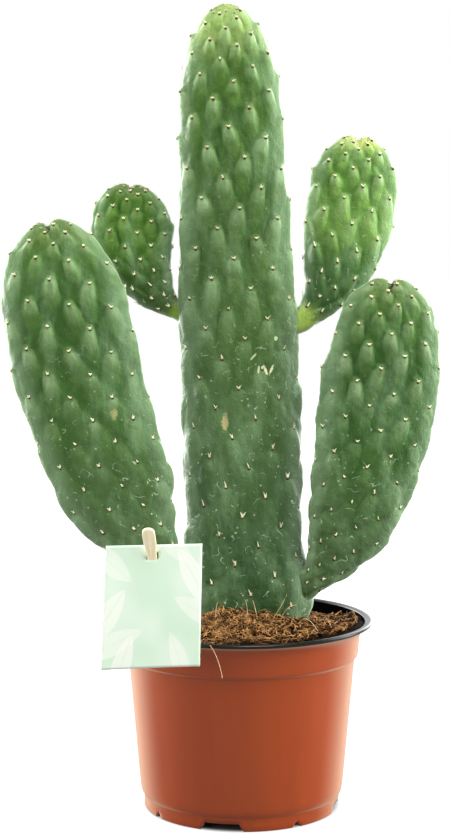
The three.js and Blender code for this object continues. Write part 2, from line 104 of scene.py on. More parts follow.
def closed_skin(grid, bottom, top, clockwise=True):
    """Points and faces of a tube of rings with a pole at each end: the rings' quads, then two fans.

    The faces point outward for rings that climb and run clockwise seen from above, or the other way round."""
    rows, columns, _ = grid.shape
    here = np.arange(columns)
    after, pole, last = (here + 1) % columns, rows * columns, (rows - 1) * columns
    low = np.stack([after, here, np.full(columns, pole)], -1)
    high = np.stack([last + here, last + after, np.full(columns, pole + 1)], -1)
    faces = [grid_faces(rows, columns), low, high]
    points = np.concatenate([grid.reshape(-1, 3), [bottom, top]])
    return points, [part[:, ::-1] for part in faces] if clockwise else faces


def make_piece(name, points, faces, slot, replaces=None, smooth=True, attributes=None):
    """A named piece from points in millimetres and arrays of faces, riding on the plant's one body."""
    mesh = bpy.data.meshes.new(name)
    mesh.from_pydata(to_metres(points).tolist(), [], [face for part in faces for face in part.tolist()])
    for key, values in (attributes or {}).items():
        layer = mesh.attributes.new(key, "FLOAT", "POINT")
        layer.data.foreach_set("value", np.asarray(values, np.float32).ravel())
    mesh.polygons.foreach_set("use_smooth", np.full(len(mesh.polygons), smooth))
    mesh.update()
    piece = bpy.data.objects.new(name, mesh)
    bpy.context.scene.collection.objects.link(piece)
    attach(piece, "root")
    if replaces:
        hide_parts(replaces)
    print(f"{name}: {len(mesh.vertices)} points, {len(mesh.polygons)} faces")
    return piece


# %% [markdown]
# ## How a pad is shaped
# A prickly pear's stem segment is a flattened shoot. Its centreline is a Bezier curve, and a rounded-flat
# section stands square to that line, widening from a narrow neck and rounding off at the tip. One formula
# gives the old stem and all four pads: only the stations differ. It is the same formula as in the part's
# source.

# %% Curves and sections
SECTION_POWER = 2.2
PATH_STEPS = 1200
ROUND_STEPS = 1440
TIP_CLEAR = 2.5


def bezier(corners, t):
    """Four control points weighted by the shares of a cubic Bezier curve, at each value of t from 0 to 1."""
    a, b, c, d = (np.array(corner, float) for corner in corners)
    t = t[:, None]
    return (1 - t) ** 3 * a + 3 * t * (1 - t) ** 2 * b + 3 * t**2 * (1 - t) * c + t**3 * d


def through(stations, x):
    """A smooth value between (position, value) stations, each with the slope of its two neighbours."""
    xs, ys = np.asarray(stations, float).T
    last = len(xs) - 1
    k = np.clip(np.searchsorted(xs, x, side="left") - 1, 0, last - 1)
    before, after = np.maximum(np.arange(last + 1) - 1, 0), np.minimum(np.arange(last + 1) + 1, last)
    slope = (ys[after] - ys[before]) / (xs[after] - xs[before])
    step = xs[k + 1] - xs[k]
    u = np.clip((x - xs[k]) / step, 0, 1)
    start = (1 - u) ** 2 * ((1 + 2 * u) * ys[k] + u * step * slope[k])
    return start + u**2 * ((3 - 2 * u) * ys[k + 1] - (1 - u) * step * slope[k + 1])


def round_off(left, reach):
    """A quarter ellipse that falls from 1 to 0 over the last stretch before an end."""
    if reach <= 0:
        return np.ones_like(left)
    k = np.clip(left / reach, 0, 1)
    return np.sqrt(np.maximum(0, 1 - (1 - k) ** 2))


def signed_power(value, power):
    """The size of a value to a power, with the value's own sign."""
    return np.sign(value) * np.abs(value) ** power


def oval(angle):
    """The rounded-flat section, one unit each way: signed powers of the cosine and the sine."""
    return [signed_power(wave(angle), 2 / SECTION_POWER) for wave in (np.cos, np.sin)]


def smoothstep(x, low, high):
    """From 0 at low to 1 at high, level at both ends: three squares less two cubes."""
    t = np.clip((x - low) / (high - low), 0, 1)
    return t * t * (3 - 2 * t)


def bell(x, width=1.0):
    """A bell curve: 1 at 0, and the exponential of minus the square of x over the width."""
    return np.exp(-((x / width) ** 2))


def unit(vectors):
    """Each vector made one long."""
    return vectors / np.maximum(np.linalg.norm(vectors, axis=-1, keepdims=True), 1e-9)


# %% [markdown]
# Each segment below has the four corners of its path, how far it is let into the stem, how far its foot and
# cap round off, half its thickness, and its half-widths and shares of the thickness at stations from 0 to
# 1. Then come the notch in its tip (depth, place, width, reach, and how deep and how dark in painted shade
# the split below it is) and its spiral of areoles: the turn and the rise from one to the next, the first
# one's share of the girth, where it starts, and over what stretch before the tip the rise shrinks to what
# share. The rest is the height of its tubercles low down and at the tip, where its skin turns young, the
# count and reach of the tiny areoles on its crown, how fine its mesh is, and the swollen joints (place,
# height, radius).

# %% The stem segments
def pad(neck, **own):
    """A pad's own values, and those that all four pads share. Neck is its share of thickness at the joint."""
    return dict(foot=0, joints=[], thicknesses=[(0, neck), (0.1, 0.7), (0.35, 1), (0.8, 1), (1, 0.85)], **own)


STEMS = {
    "trunk": dict(
        path=[(1, 0, 84), (3.5, 0, 235), (-5.5, 0, 379), (-10, 1, 519)],
        embed=0, foot=22, cap=70, thick=14, thick_cap=40, notch=None,
        widths=[(0, 30), (0.08, 37.1), (0.25, 37.7), (0.42, 38.4), (0.55, 37.2), (0.76, 34.5), (1, 31.6)],
        thicknesses=[(0, 0.85), (0.2, 1), (0.6, 0.95), (0.85, 0.85), (1, 0.8)],
        areoles=dict(turn=0.3824, rise=2.44, first=0.4882, start=19.8, tip=81, crowd=0.416),
        bumps=(2.6, 4.2), youth=(0.38, 0.85), crown=(26, 13), columns=208, rows=450,
        slot="cactus_skin_old", seed=3,
        joints=[((-38, 0, 149), 3, 17), ((38, 0, 148), 4, 18), ((-37, 0, 131), 3, 15),
                ((37, 0, 131), 5, 15), ((-38, 2, 323), 2.5, 13), ((38, 2, 320), 2.5, 13)],
    ),
    "pad_lower_left": pad(
        0.62, path=[(-37, -3, 146), (-55, -12, 158.4), (-101.3, -20, 216), (-121.2, -20, 383)],
        embed=7, cap=50, thick=10.5, thick_cap=30, notch=(5, -2, 5, 9, 0.8),
        widths=[(0, 10), (0.06, 12.2), (0.14, 21.1), (0.28, 35.2), (0.45, 39), (0.65, 41.2), (0.8, 39.2),
                (1, 33)],
        areoles=dict(turn=0.3819, rise=2.2044, first=0.6168, start=8.2, tip=41.7, crowd=0.29),
        bumps=(2.4, 3.6), youth=(0.3, 0.9), crown=(16, 14), columns=200, rows=280,
        slot="cactus_skin_pad", seed=11,
    ),
    "pad_lower_right": pad(
        0.62, path=[(36, -3, 146.5), (62.8, -10, 149.7), (86.2, -18, 210), (94, -20, 346.6)],
        embed=7, cap=24, thick=10.5, thick_cap=24, notch=(5, 0, 5, 9, 1.0),
        widths=[(0, 11), (0.06, 9.5), (0.14, 17.3), (0.25, 27.3), (0.4, 33.1), (0.6, 36.8), (0.75, 36.3),
                (1, 24)],
        areoles=dict(turn=0.3826, rise=1.8725, first=0.2702, start=7.9, tip=55.3, crowd=0.48),
        bumps=(2.4, 3.4), youth=(0.3, 0.9), crown=(12, 10), columns=184, rows=240,
        slot="cactus_skin_pad", seed=19,
    ),
    "pad_upper_left": pad(
        0.66, path=[(-37, 2, 321), (-53.4, 6, 330.2), (-76.4, 11, 352.6), (-71.5, 12, 406)],
        embed=6, cap=27.5, thick=7.5, thick_cap=20, notch=(3.5, 0, 4, 7, 0.4),
        widths=[(0, 5), (0.07, 5.4), (0.25, 13), (0.45, 21.2), (0.65, 26.5), (0.8, 26), (1, 26)],
        areoles=dict(turn=0.3834, rise=1.3938, first=0.2655, start=10, tip=31.9, crowd=0.26),
        bumps=(1.8, 3.0), youth=(0.0, 0.5), crown=(22, 12), columns=144, rows=140,
        slot="cactus_skin_young", seed=23,
    ),
    "pad_upper_right": pad(
        0.66, path=[(36, 2, 317.5), (55, 6, 327), (71, 10, 360.2), (75, 12, 437.3)],
        embed=6, cap=36, thick=8, thick_cap=22, notch=(4, 0, 4.5, 8, 0.2),
        widths=[(0, 6), (0.07, 7.1), (0.2, 14.9), (0.4, 25), (0.6, 28.8), (0.75, 28.1), (1, 27.5)],
        areoles=dict(turn=0.3826, rise=2.0104, first=0.6087, start=6.3, tip=47, crowd=0.22),
        bumps=(3.0, 3.8), youth=(-0.2, 0.3), crown=(26, 13), columns=150, rows=170,
        slot="cactus_skin_young", seed=29,
    ),
}


class Stem:
    """One stem segment: its centreline, its section and its areoles."""

    def __init__(self, name, spec):
        """Measures the line and the section, so that distances and shares of the girth give places."""
        self.name, self.spec = name, spec
        self.line = bezier(spec["path"], np.linspace(0, 1, PATH_STEPS + 1))
        self.run = np.concatenate([[0], np.cumsum(np.linalg.norm(np.diff(self.line, axis=0), axis=1))])
        self.length = self.run[-1]
        self.widest = max(width for _, width in spec["widths"])
        self.angles = np.linspace(0, 2 * np.pi, ROUND_STEPS + 1)
        x, y = oval(self.angles)
        steps = np.hypot(np.diff(x), np.diff(y) * spec["thick"] / self.widest)
        shares = np.concatenate([[0], np.cumsum(steps)])
        self.shares, self.girth = shares / shares[-1], shares[-1]
        self.areoles = self.place_areoles()

    def place_areoles(self):
        """Areoles on one spiral: each turns by one share of the girth, and the rise shrinks at the tip."""
        spiral, rows = self.spec["areoles"], []
        distance, share = spiral["start"], spiral["first"]
        while self.length - distance > TIP_CLEAR:
            crowded = spiral["crowd"] + (1 - spiral["crowd"]) * (self.length - distance) / spiral["tip"]
            rows.append((share % 1, distance, min(1, crowded)))
            distance += spiral["rise"] * rows[-1][2]
            share += spiral["turn"]
        return np.array(rows)

    def ends(self, distance, cap):
        """A share that falls to 0 where the cap and the foot round off."""
        return round_off(self.length - distance, cap) * round_off(distance, self.spec["foot"])

    def half_width(self, distance):
        """The width through the stations, rounded off at the ends."""
        width = through(self.spec["widths"], np.clip(distance / self.length, 0, 1))
        return width * self.ends(distance, self.spec["cap"])

    def half_thickness(self, distance):
        """The thickness times its share through the stations, rounded off at the ends."""
        part = through(self.spec["thicknesses"], np.clip(distance / self.length, 0, 1))
        return part * self.spec["thick"] * self.ends(distance, self.spec["thick_cap"])

    def frames(self, distance):
        """Centre, direction along, direction to the right and direction to the front at each distance."""
        inside = np.clip(distance, 0, self.length)
        centre = np.stack([np.interp(inside, self.run, self.line[:, k]) for k in range(3)], -1)
        slopes = unit(np.gradient(self.line, axis=0))
        along = unit(np.stack([np.interp(inside, self.run, slopes[:, k]) for k in range(3)], -1))
        centre = centre + along * np.minimum(distance, 0)[..., None]
        side = unit(np.cross(along, [0.0, -1.0, 0.0]))
        return centre, along, side, np.cross(side, along)

    def section(self, share, distance):
        """Sideways and forward places of points on the rounded-flat section."""
        x, y = oval(np.interp(share % 1, self.shares, self.angles))
        return self.half_width(distance) * x, self.half_thickness(distance) * y

    def smooth_points(self, share, distance):
        """The section square to the centreline, its tip drawn in by bell curves where a notch splits it."""
        centre, along, side, front = self.frames(distance)
        x, y = self.section(share, distance)
        points = centre + side * x[..., None] + front * y[..., None]
        if self.spec["notch"]:
            depth, at, width, reach, _ = self.spec["notch"]
            left = self.length - distance
            pull = 0.5 * depth * bell(x - at, width) * bell(left, reach)
            pull = pull + 0.3 * depth * bell(x - at, 1.5) * bell(left, reach * 0.7)
            points = points - along * pull[..., None]
        return points

    def normals(self, share, distance):
        """The outward direction, from small steps round the section and along the centreline."""
        d = np.clip(distance, 0.6, self.length - 0.6)
        around = self.smooth_points(share + 0.004, d) - self.smooth_points(share - 0.004, d)
        up = self.smooth_points(share, d + 0.5) - self.smooth_points(share, d - 0.5)
        return unit(np.cross(up, around))


stems = {name: Stem(name, spec) for name, spec in STEMS.items()}
for stem in stems.values():
    print(f"{stem.name}: {stem.length:.0f} mm long, {len(stem.areoles)} areoles")

# %% [markdown]
# ## Tubercles
# Each areole sits on the top end of a tubercle: a long low tail that climbs from below, a finger-shaped
# nose just under the areole with a fold beside it, and a slanting keel above it. Young skin has tall
# tubercles, and old skin has nearly flat ones with a dip at the areole. A bump texture would give the
# shading but not the outline, so the ridges are real geometry. The ridges of all areoles are added with a
# soft maximum of sixth powers, which keeps a valley between neighbours.

# %% Tubercle relief
TAIL = 30.0
NOSE = 15.0
KEEL = 15.0
SHOULDER = 4.2
SINK = 0.34
TIP_FADE = 9.0
SOFT_POWER = 6


def youth(stem, distance):
    """How young the skin is: 0 on the old skin lower down, 1 towards the tip."""
    return smoothstep(distance / stem.length, *stem.spec["youth"])


def narrow_side(share):
    """1 on the section's two narrow sides and 0 on its broad faces: the cosine's size to the fourth power."""
    return np.abs(np.cos(2 * np.pi * share)) ** 4


def bump_height(stem, share, distance):
    """Low on old skin, above all on its broad faces, tall on young skin, and nothing at the tip."""
    low, high = stem.spec["bumps"]
    young, narrow = youth(stem, distance), narrow_side(share)
    flatter = 1 - 0.55 * narrow * young - 0.58 * (1 - narrow) * (1 - young)
    grown = (low + (high - low) * smoothstep(distance / stem.length, 0.4, 1.0)) * flatter
    return grown * (1 - bell(stem.length - distance, TIP_FADE))


def own_shape(rng, young):
    """One tubercle's own reach, size, lean and depths, drawn at random in a fixed order."""
    return SimpleNamespace(
        tail=TAIL * young * rng.uniform(0.85, 1.1),
        nose=NOSE * young * rng.uniform(0.75, 1.25),
        size=rng.uniform(0.75, 1.15),
        lean=rng.uniform(-0.2, 0.2),
        skew=rng.uniform(-0.35, 0.1),
        hollow=rng.choice([0.0, 0.0, 0.5, 0.95]),
        shine=rng.uniform(0.45, 1.1),
        cut=rng.uniform(0.2, 1.0),
        fold_side=rng.choice([1, 1, -1]),
        keel=rng.uniform(0.0, 0.5) * rng.choice([1, 1, 0.2]),
        slope=rng.choice([1, 1, 1, -1]) * rng.uniform(0.3, 0.6),
    )


def tail_height(across, below, fresh, scale):
    """A long low spindle below the areole, with flanks that fall as the exponential of minus a power.

    On young skin it climbs to the areole, on old skin it swells half-way and sinks again."""
    climb = fresh * (1 - below) ** 1.2 + (1 - fresh) * np.sin(np.pi * below**0.8)
    wide = (2.6 + 2.7 * np.sin(np.pi * below**0.75)) * scale
    return climb * np.exp(-np.abs(across / wide) ** 3.2)


def keel_height(own, across, above, young, scale):
    """A ridge that slants away above the areole: a bell curve, narrow on one side and wide on the other."""
    off = (across + own.slope * above) * np.sign(own.slope) / scale
    rising = smoothstep(above, -1.5, 1.0) * (1 - np.clip(above / (KEEL * young), 0, 1))
    return rising * bell(off, np.where(off > 0, 1.0, 3.6))


def crease_depth(own, across, above, into, nose_wide, scale):
    """The fold beside the nose: a narrow bell curve on one side of it, from the areole down."""
    beside = (across - own.fold_side * 1.35 * nose_wide - 0.5 * own.fold_side) / (0.9 * scale)
    return bell(beside) * smoothstep(-above, -1.5, 2.0) * (1 - smoothstep(into, 0.35, 1.1)) * own.cut


def tubercles(stem, share, distance):
    """Ridge height from 0 to about 1, a nose patch of wax and painted highlight, and closeness to an areole
    and a fold, at each grid point.

    A tubercle is a tail and a nose that both drop quickly above the areole, and a keel. The nose is a finger
    with steep flanks, sometimes with a hollow in it. The soft maximum of all tubercles is the sixth root of
    the sum of sixth powers."""
    girth = stem.girth * stem.half_width(distance)
    rng = np.random.default_rng(stem.spec["seed"])
    total, nose, near, fold, dip = (np.zeros_like(distance) for _ in range(5))
    for a_share, a_distance, young in stem.areoles:
        own = own_shape(rng, young)
        first, last = a_distance - own.tail - 2, a_distance + KEEL + 1
        rows = np.flatnonzero((distance[:, 0] > first) & (distance[:, 0] < last))
        if len(rows) == 0:
            continue
        window = slice(rows[0], rows[-1] + 1)
        fresh, grown = youth(stem, a_distance), 0.5 + 0.5 * young
        above = distance[window] - a_distance
        turn = share[window] - a_share
        across = (np.round(turn) - turn) * girth[window] - own.lean * above
        below, into = np.clip(-above / own.tail, 0, 1), np.clip(-above / own.nose, 0, 1)
        drop = smoothstep(SHOULDER * young - above, 0, SHOULDER * young)
        scale = (0.42 + 0.58 * young) * (1 + own.skew * np.sign(across))
        nose_wide = (3.1 + 1.3 * into) * scale
        inner = own.hollow * bell(across, 0.5 * nose_wide) * bell(into - 0.27, 0.16)

        tail = drop * tail_height(across, below, fresh, scale)
        finger = np.exp(-np.abs(across / nose_wide) ** 3.0) * (1 - smoothstep(into, 0.1, 1.15))
        finger = finger * drop * (1 - 0.3 * inner)
        keel = own.keel * grown * keel_height(own, across, above, young, scale)
        raised = own.size * grown * (0.78 * tail + (0.14 + 0.3 * fresh) * finger)
        total[window] += raised**SOFT_POWER + keel**SOFT_POWER

        # The nose patch is partly wax and partly a painted highlight: it sits a little right of the crest, on
        # the lit side, and own.shine sets its strength.
        flank = (across - 0.3 * scale) / (1.1 * nose_wide)
        patch = np.exp(-np.abs(flank) ** 2.3) * smoothstep(into, 0.0, 0.1)
        patch = patch * (1 - smoothstep(into, 0.1, 0.85)) * drop * own.shine * (1 - 0.8 * inner)
        nose[window] = np.maximum(nose[window], patch)
        dip[window] = np.maximum(dip[window], (1 - fresh) * bell(across, 3.4) * bell(above, 4.0))
        near[window] = np.maximum(near[window], bell(across, 1.6) * bell(above - 0.5, 1.8))
        crease = crease_depth(own, across, above, into, nose_wide, scale)
        fold[window] = np.maximum(fold[window], crease)
    ridge = np.minimum(total ** (1 / SOFT_POWER), 1.3) - 0.42 * dip
    return ridge - 0.26 * fold * (0.3 + 0.7 * youth(stem, distance)), nose, near, fold



def fissure(stem, share, distance):
    """How close a point is to the split that runs down from the tip of a notched pad, from 0 to 1."""
    if not stem.spec["notch"]:
        return np.zeros_like(distance)
    _, at, _, reach, scar = stem.spec["notch"]
    x, _ = stem.section(share, distance)
    left = stem.length - distance
    wander = 0.8 * np.sin(left * 0.9 + stem.spec["seed"])
    return scar * bell(x - at - wander, 0.95) * (1 - smoothstep(left, 0.2 * reach, 1.6 * reach))


def waves(points, seed, scale):
    """A gentle unevenness from a few sine waves in random directions, between about -1 and 1."""
    rng = np.random.default_rng(seed)
    total = np.zeros(points.shape[:-1])
    for _ in range(7):
        direction = unit(rng.normal(size=3)) / scale * rng.uniform(0.6, 1.5)
        total += np.sin(points @ direction * 2 * np.pi + rng.uniform(0, 6.28))
    return total / 3.2


def surface_points(stem, share, distance, ridge):
    """The finished skin: the smooth section pushed out by ridges, joint swellings and unevenness."""
    base, seed = stem.smooth_points(share, distance), stem.spec["seed"]
    rise = bump_height(stem, share, distance) * (ridge - SINK) - 1.5 * fissure(stem, share, distance)
    rise += 0.5 * waves(base, seed, 46.0) + 0.22 * waves(base, seed + 1, 14.0)
    rise += 0.16 * waves(base, seed + 2, 6.5) * smoothstep(stem.length - distance, 2, 20)
    for at, swell, radius in stem.spec["joints"]:
        rise += swell * bell(np.linalg.norm(base - np.array(at, float), axis=-1), radius)
    return base + stem.normals(share, distance) * rise[..., None]


# %% [markdown]
# ### From rings to skins
# A skin is one tube of rings. Rings at equal steps of the centreline would lie far apart on the round tip,
# so they are spaced along the skin. The ridge, the nearness of an areole and other values are stored at the
# points, because a shader alone couldn't tell where a tubercle is.


# %% Ring positions and the skins
def ring_distances(stem):
    """Rings evenly spaced over the skin, closer together along the centreline where the ends round off.

    Each end is walked as a quarter ellipse, with a sine or a cosine of the way gone."""
    spec, rows = stem.spec, stem.spec["rows"]
    cap, foot = spec["cap"], spec["foot"]
    cap_run = np.pi / 2 * math.sqrt((cap**2 + stem.widest**2) / 2)
    foot_run = np.pi / 2 * math.sqrt((foot**2 + stem.widest**2) / 2) if foot else 0.0
    straight = stem.length + spec["embed"] - cap - foot
    run = (foot_run + straight + cap_run) * np.arange(0 if not foot else 1, rows) / rows
    on_foot = foot * (1 - np.cos(np.pi / 2 * run / max(foot_run, 1e-9)))
    on_cap = stem.length - cap + cap * np.sin(np.pi / 2 * (run - foot_run - straight) / cap_run)
    middle = foot - spec["embed"] + run - foot_run
    return np.where(run < foot_run, on_foot, np.where(run < foot_run + straight, middle, on_cap))


def grow_skin(name, stem):
    """One skin as a closed tube, with the values that its material reads stored at its points."""
    columns, notch = stem.spec["columns"], stem.spec["notch"]
    share, distance = np.meshgrid(np.arange(columns) / columns, ring_distances(stem))
    ridge, nose, near, fold = tubercles(stem, share, distance)
    grid = surface_points(stem, share, distance, ridge)
    centre, along, _, _ = stem.frames(np.array([0.0, stem.length]))
    bottom, top = centre[0] - along[0] * stem.spec["embed"], grid[-1].mean(0) + along[1] * 0.2
    values = {"ridge": ridge, "nose": nose, "areole": near, "fold": fold, "along": distance / stem.length,
              "split": fissure(stem, share, distance), "side": narrow_side(share)}
    tips = {"fold": 0.0, "split": notch[4] if notch else 0.0, "along": 1.0, "side": 0.5}
    attributes = {key: np.concatenate([field.ravel(), [field[0].mean(), tips.get(key, field[-1].mean())]])
                  for key, field in values.items()}
    points, faces = closed_skin(grid, bottom, top)
    return make_piece(f"{name}_skin", points, faces, stem.spec["slot"], name, attributes=attributes)


skins = {name: grow_skin(name, stem) for name, stem in stems.items()}

# %% [markdown]
# ## Areoles, spines and bristles
# An areole is a dark patch of felt with a pale cushion on it. From it stand up to three short spines,
# spread in a V, and a tuft of tiny bristles, and tiny areoles crowd over each crown. There are some seven
# hundred in all, so each cushion is a squashed twenty-sided lump and each spine a four-sided tapered
# strand: light shapes, placed by whole arrays. Hair particles would be lost in the export.

# %% Small repeated shapes
GOLD = (1 + 5**0.5) / 2
LUMP_CORNERS = [(short, long * GOLD, 0) for long in (1, -1) for short in (-1, 1)]
LUMP = unit(np.array([np.roll(corner, turn) for turn in range(3) for corner in LUMP_CORNERS]))
LUMP_FACES = np.array([(0, 11, 5), (0, 5, 1), (0, 1, 7), (0, 7, 10), (0, 10, 11), (1, 5, 9), (5, 11, 4),
                       (11, 10, 2), (10, 7, 6), (7, 1, 8), (3, 9, 4), (3, 4, 2), (3, 2, 6), (3, 6, 8),
                       (3, 8, 9), (4, 9, 5), (2, 4, 11), (6, 2, 10), (8, 6, 7), (9, 8, 1)])


def lumps(centres, axes, sizes, rng, rough=0.15):
    """One lump for each centre: a twenty-sided ball stretched along three axes, with its corners moved."""
    corners = LUMP[None] * (1 + rng.uniform(-rough, rough, (len(centres), 12, 1)))
    shaped = np.einsum("nck,nkj->ncj", corners * sizes[:, None], axes)
    faces = (LUMP_FACES[None] + 12 * np.arange(len(centres))[:, None, None]).reshape(-1, 3)
    return (centres[:, None] + shaped).reshape(-1, 3), [faces]


def strands(paths, radii, sides=4):
    """Tapered strands: a ring of corners square to the path at each of its points, closed at both ends."""
    count, steps, _ = paths.shape
    along = unit(np.gradient(paths, axis=1))
    helper = np.where(np.abs(along[..., 2:3]) > 0.9, [1.0, 0.0, 0.0], [0.0, 0.0, 1.0])
    right = unit(np.cross(along, helper))
    up = np.cross(right, along)
    turn = 2 * np.pi * np.arange(sides) / sides
    ring = right[..., None, :] * np.cos(turn)[:, None] + up[..., None, :] * np.sin(turn)[:, None]
    points = (paths[..., None, :] + ring * radii[..., None, None]).reshape(-1, 3)
    start = steps * sides * np.arange(count)[:, None, None]
    caps = np.stack([np.arange(sides), (steps - 1) * sides + np.arange(sides)[::-1]])
    parts = (grid_faces(steps, sides), 4), (caps, sides)
    return points, [(faces[None] + start).reshape(-1, corners)[:, ::-1] for faces, corners in parts]


def joined(parts):
    """Several sets of points and faces as one set."""
    points, faces, start = [], [], 0
    for some, groups in parts:
        points.append(some)
        faces += [group + start for group in groups]
        start += len(some)
    return np.concatenate(points), faces


# %% Felt, spines and bristles
SPINE_RADIUS = 0.4
SOIL_CLEAR = 131.0
SPINE_TAPER = np.array([1.0, 0.9, 0.6, 0.12])
# Each spine: how far it leans to a side, and how likely it is to be there.
SPINE_WAYS = [(-0.85, 0.95), (0.8, 0.9), (0.05, 0.4)]
BRISTLES = 6
BRISTLE_RADII = (0.13, 0.03)


def crown_areoles(stem):
    """Tiny areoles over the tip, on a spiral that turns by a golden share and widens with a square root."""
    count, reach = stem.spec["crown"]
    k = np.arange(count)
    away = reach * np.sqrt((k + 0.7) / count)
    left = stem.spec["cap"] * (1 - np.sqrt(1 - (away / stem.spec["widths"][-1][1]) ** 2))
    return np.stack([k * 0.382 % 1, stem.length - left, np.zeros(count)], -1)


def areole_frames(stem):
    """For each areole above the soil: its point on the skin, outward, upward and sideways directions."""
    share, distance, young = np.concatenate([stem.areoles, crown_areoles(stem)]).T
    share, distance = share[:, None], distance[:, None]
    _, along, _, _ = stem.frames(distance)
    spot = surface_points(stem, share, distance, tubercles(stem, share, distance)[0])[:, 0]
    out = stem.normals(share, distance)[:, 0]
    up = unit(along[:, 0] - out * np.sum(along[:, 0] * out, -1, keepdims=True))
    keep = spot[:, 2] > (SOIL_CLEAR if stem.name == "trunk" else 0)
    for at, _, radius in stem.spec["joints"]:
        keep &= np.linalg.norm(spot - np.array(at, float), axis=-1) > radius * 0.62
    return spot[keep], out[keep], up[keep], np.cross(up, out)[keep], young[keep], distance[keep, 0]


def spines(rng, frames, young, old, tiny, stretch):
    """Up to three slightly bent strands on each areole, leaning apart in a V.

    They are shorter where areoles crowd at the tip. On old skin they are longer and stand closer together."""
    spot, out, up, side = frames
    parts = []
    t = np.linspace(0, 1, len(SPINE_TAPER))[None, :, None]
    for which, (lean, chance) in enumerate(SPINE_WAYS):
        chosen = rng.random(len(spot)) < chance * (1 - (0.35 * old if which else 0))
        n, aged, small = int(chosen.sum()), old[chosen][:, None], tiny[chosen]
        tip = unit(out[chosen] * rng.uniform(0.35, 0.7, (n, 1))
                   + up[chosen] * (rng.uniform(0.3, 0.8, (n, 1)) + 0.7 * aged)
                   + side[chosen] * (lean * (1 - 0.55 * aged) + rng.uniform(-0.3, 0.3, (n, 1))))
        length = rng.uniform(1.3, 2.4, n) * (0.7 + 0.3 * young[chosen]) * (1 + stretch * old[chosen])
        start = spot[chosen] - out[chosen] * 0.3 + up[chosen] * 0.55 * small[:, None]
        bend = up[chosen] * rng.uniform(-0.4, 0.3, (n, 1))
        paths = start[:, None] + tip[:, None] * t * (length * small)[:, None, None] + bend[:, None] * t**2
        radii = SPINE_RADIUS * (rng.uniform(0.8, 1.15, n) * small)[:, None] * (1 + 0.3 * aged) * SPINE_TAPER
        parts.append(strands(paths, radii))
    return joined(parts)


def bristles(rng, frames):
    """Tiny straight strands on each areole, fanned out at random round its upper side."""
    spot, out, up, side = (np.repeat(part, BRISTLES, axis=0) for part in frames)
    n = len(spot)
    spread = rng.uniform(0, 2 * np.pi, n)
    rise, swing = np.sin(spread)[:, None], np.cos(spread)[:, None]
    aim = unit(out + up * (0.7 + 0.6 * rise) + side * (0.9 * swing))
    start = spot + up * (0.5 + 0.5 * rise) + side * (0.6 * swing)
    t = np.linspace(0, 1, 2)[None, :, None]
    paths = start[:, None] + aim[:, None] * t * rng.uniform(0.6, 1.2, n)[:, None, None]
    return strands(paths, np.array([BRISTLE_RADII]).repeat(n, 0), 3)


def dress_areoles(name, stem):
    """A dark lump of felt, a pale cushion, spines and bristles on each areole of a segment.

    Lumps are smaller where areoles crowd at the tip, and the cushions shrink on old skin."""
    rng = np.random.default_rng(stem.spec["seed"] + 50)
    slot, on_trunk = stem.spec["slot"], name == "trunk"
    *frames, young, distance = areole_frames(stem)
    spot, out, up, side = frames
    count, axes = len(spot), np.stack([side, up, out], 1)
    old = 1 - smoothstep(distance / stem.length, 0.2, 0.75)
    tiny = np.where(young < 0.05, 0.55, 1.0)
    crowding = 1 + 0.3 * smoothstep(young, 0.8, 0.4)
    size = (0.75 + 0.25 * young) * rng.uniform(0.85, 1.15, count) * crowding * tiny

    dark = size * (1.15 if on_trunk else 1.0)
    felt_sizes = np.stack([0.95 * dark, 0.75 * dark, 0.5 * size], -1)
    make_piece(f"{name}_felt", *lumps(spot - up * 0.35 * dark[:, None], axes, felt_sizes, rng), slot)
    pale = size * (1 - 0.45 * old) * (0.8 if on_trunk else 0.9)
    cushion_sizes = np.stack([0.95 * pale, 0.6 * pale, 0.75 * pale], -1)
    make_piece(f"{name}_cushions", *lumps(spot + up * 0.45 * size[:, None], axes, cushion_sizes, rng), slot)
    stretch = 1.1 if on_trunk else 0.4
    make_piece(f"{name}_spines", *spines(rng, frames, young, old, tiny, stretch), slot)
    make_piece(f"{name}_bristles", *bristles(rng, frames), slot)


for name, stem in stems.items():
    dress_areoles(name, stem)

# %% [markdown]
# ## The pot
# A nursery pot is thin moulded plastic in two layers, terracotta outside and black inside, and the black
# rolls over the rim. It is a turned shape, so its profile is carried round the axis. Slots are moulded
# through the foot ring, so the foot's lower points are lifted wherever a slot passes. Cutting with a
# boolean would leave long thin faces there. Each point of the profile is a radius and a height.

# %% Pot profile
FOOT_RADIUS = 63.6
DRAINS = [(-12 + 90 * k, 14.2, 11.2, 5.2) for k in range(4)]
NOTCHES = [(33 + 90 * k, 3.2, 0.5, 3.8) for k in range(4)]
OUTSIDE = [
    (0, 5.6), (30, 5.6), (57, 5.6), (58.2, 5.4), (58.6, 4.8), (58.9, 0.8), (59.3, 0.2), (60, 0), (62.9, 0),
    (63.4, 0.2), (63.7, 0.8), (63.9, 4.5), (64.0, 8.2), (64.2, 8.9), (65.0, 9.8), (65.6, 11), (66.1, 12.8),
    (66.4, 15), (66.9, 20), (69.7, 52), (72.9, 88), (73.9, 98.6), (74.1, 99.3), (75.4, 100.5), (75.9, 101.0),
    (76.1, 101.8), (76.6, 107), (77.1, 112.5), (77.4, 114.6), (77.9, 116.2), (78.7, 117.7), (79.8, 119.0),
    (81.1, 120.0), (82.5, 120.6), (83.8, 120.95), (84.4, 121.15),
]
INSIDE = [
    (84.8, 121.4), (85, 121.9), (85, 122.5), (84.7, 123.1), (84.1, 123.5), (83.4, 123.6), (82.4, 123.6),
    (81.4, 123.2), (80.5, 122.4), (79.6, 121.2), (78.7, 119.6), (77.8, 117.9), (77.0, 116.4), (76.2, 115.0),
    (74.8, 102.4), (74.4, 101.4), (73.1, 100.2), (72.7, 99.2), (65.1, 15), (63.8, 9.5), (62.2, 7.6),
    (60, 7.2), (0, 7.2),
]


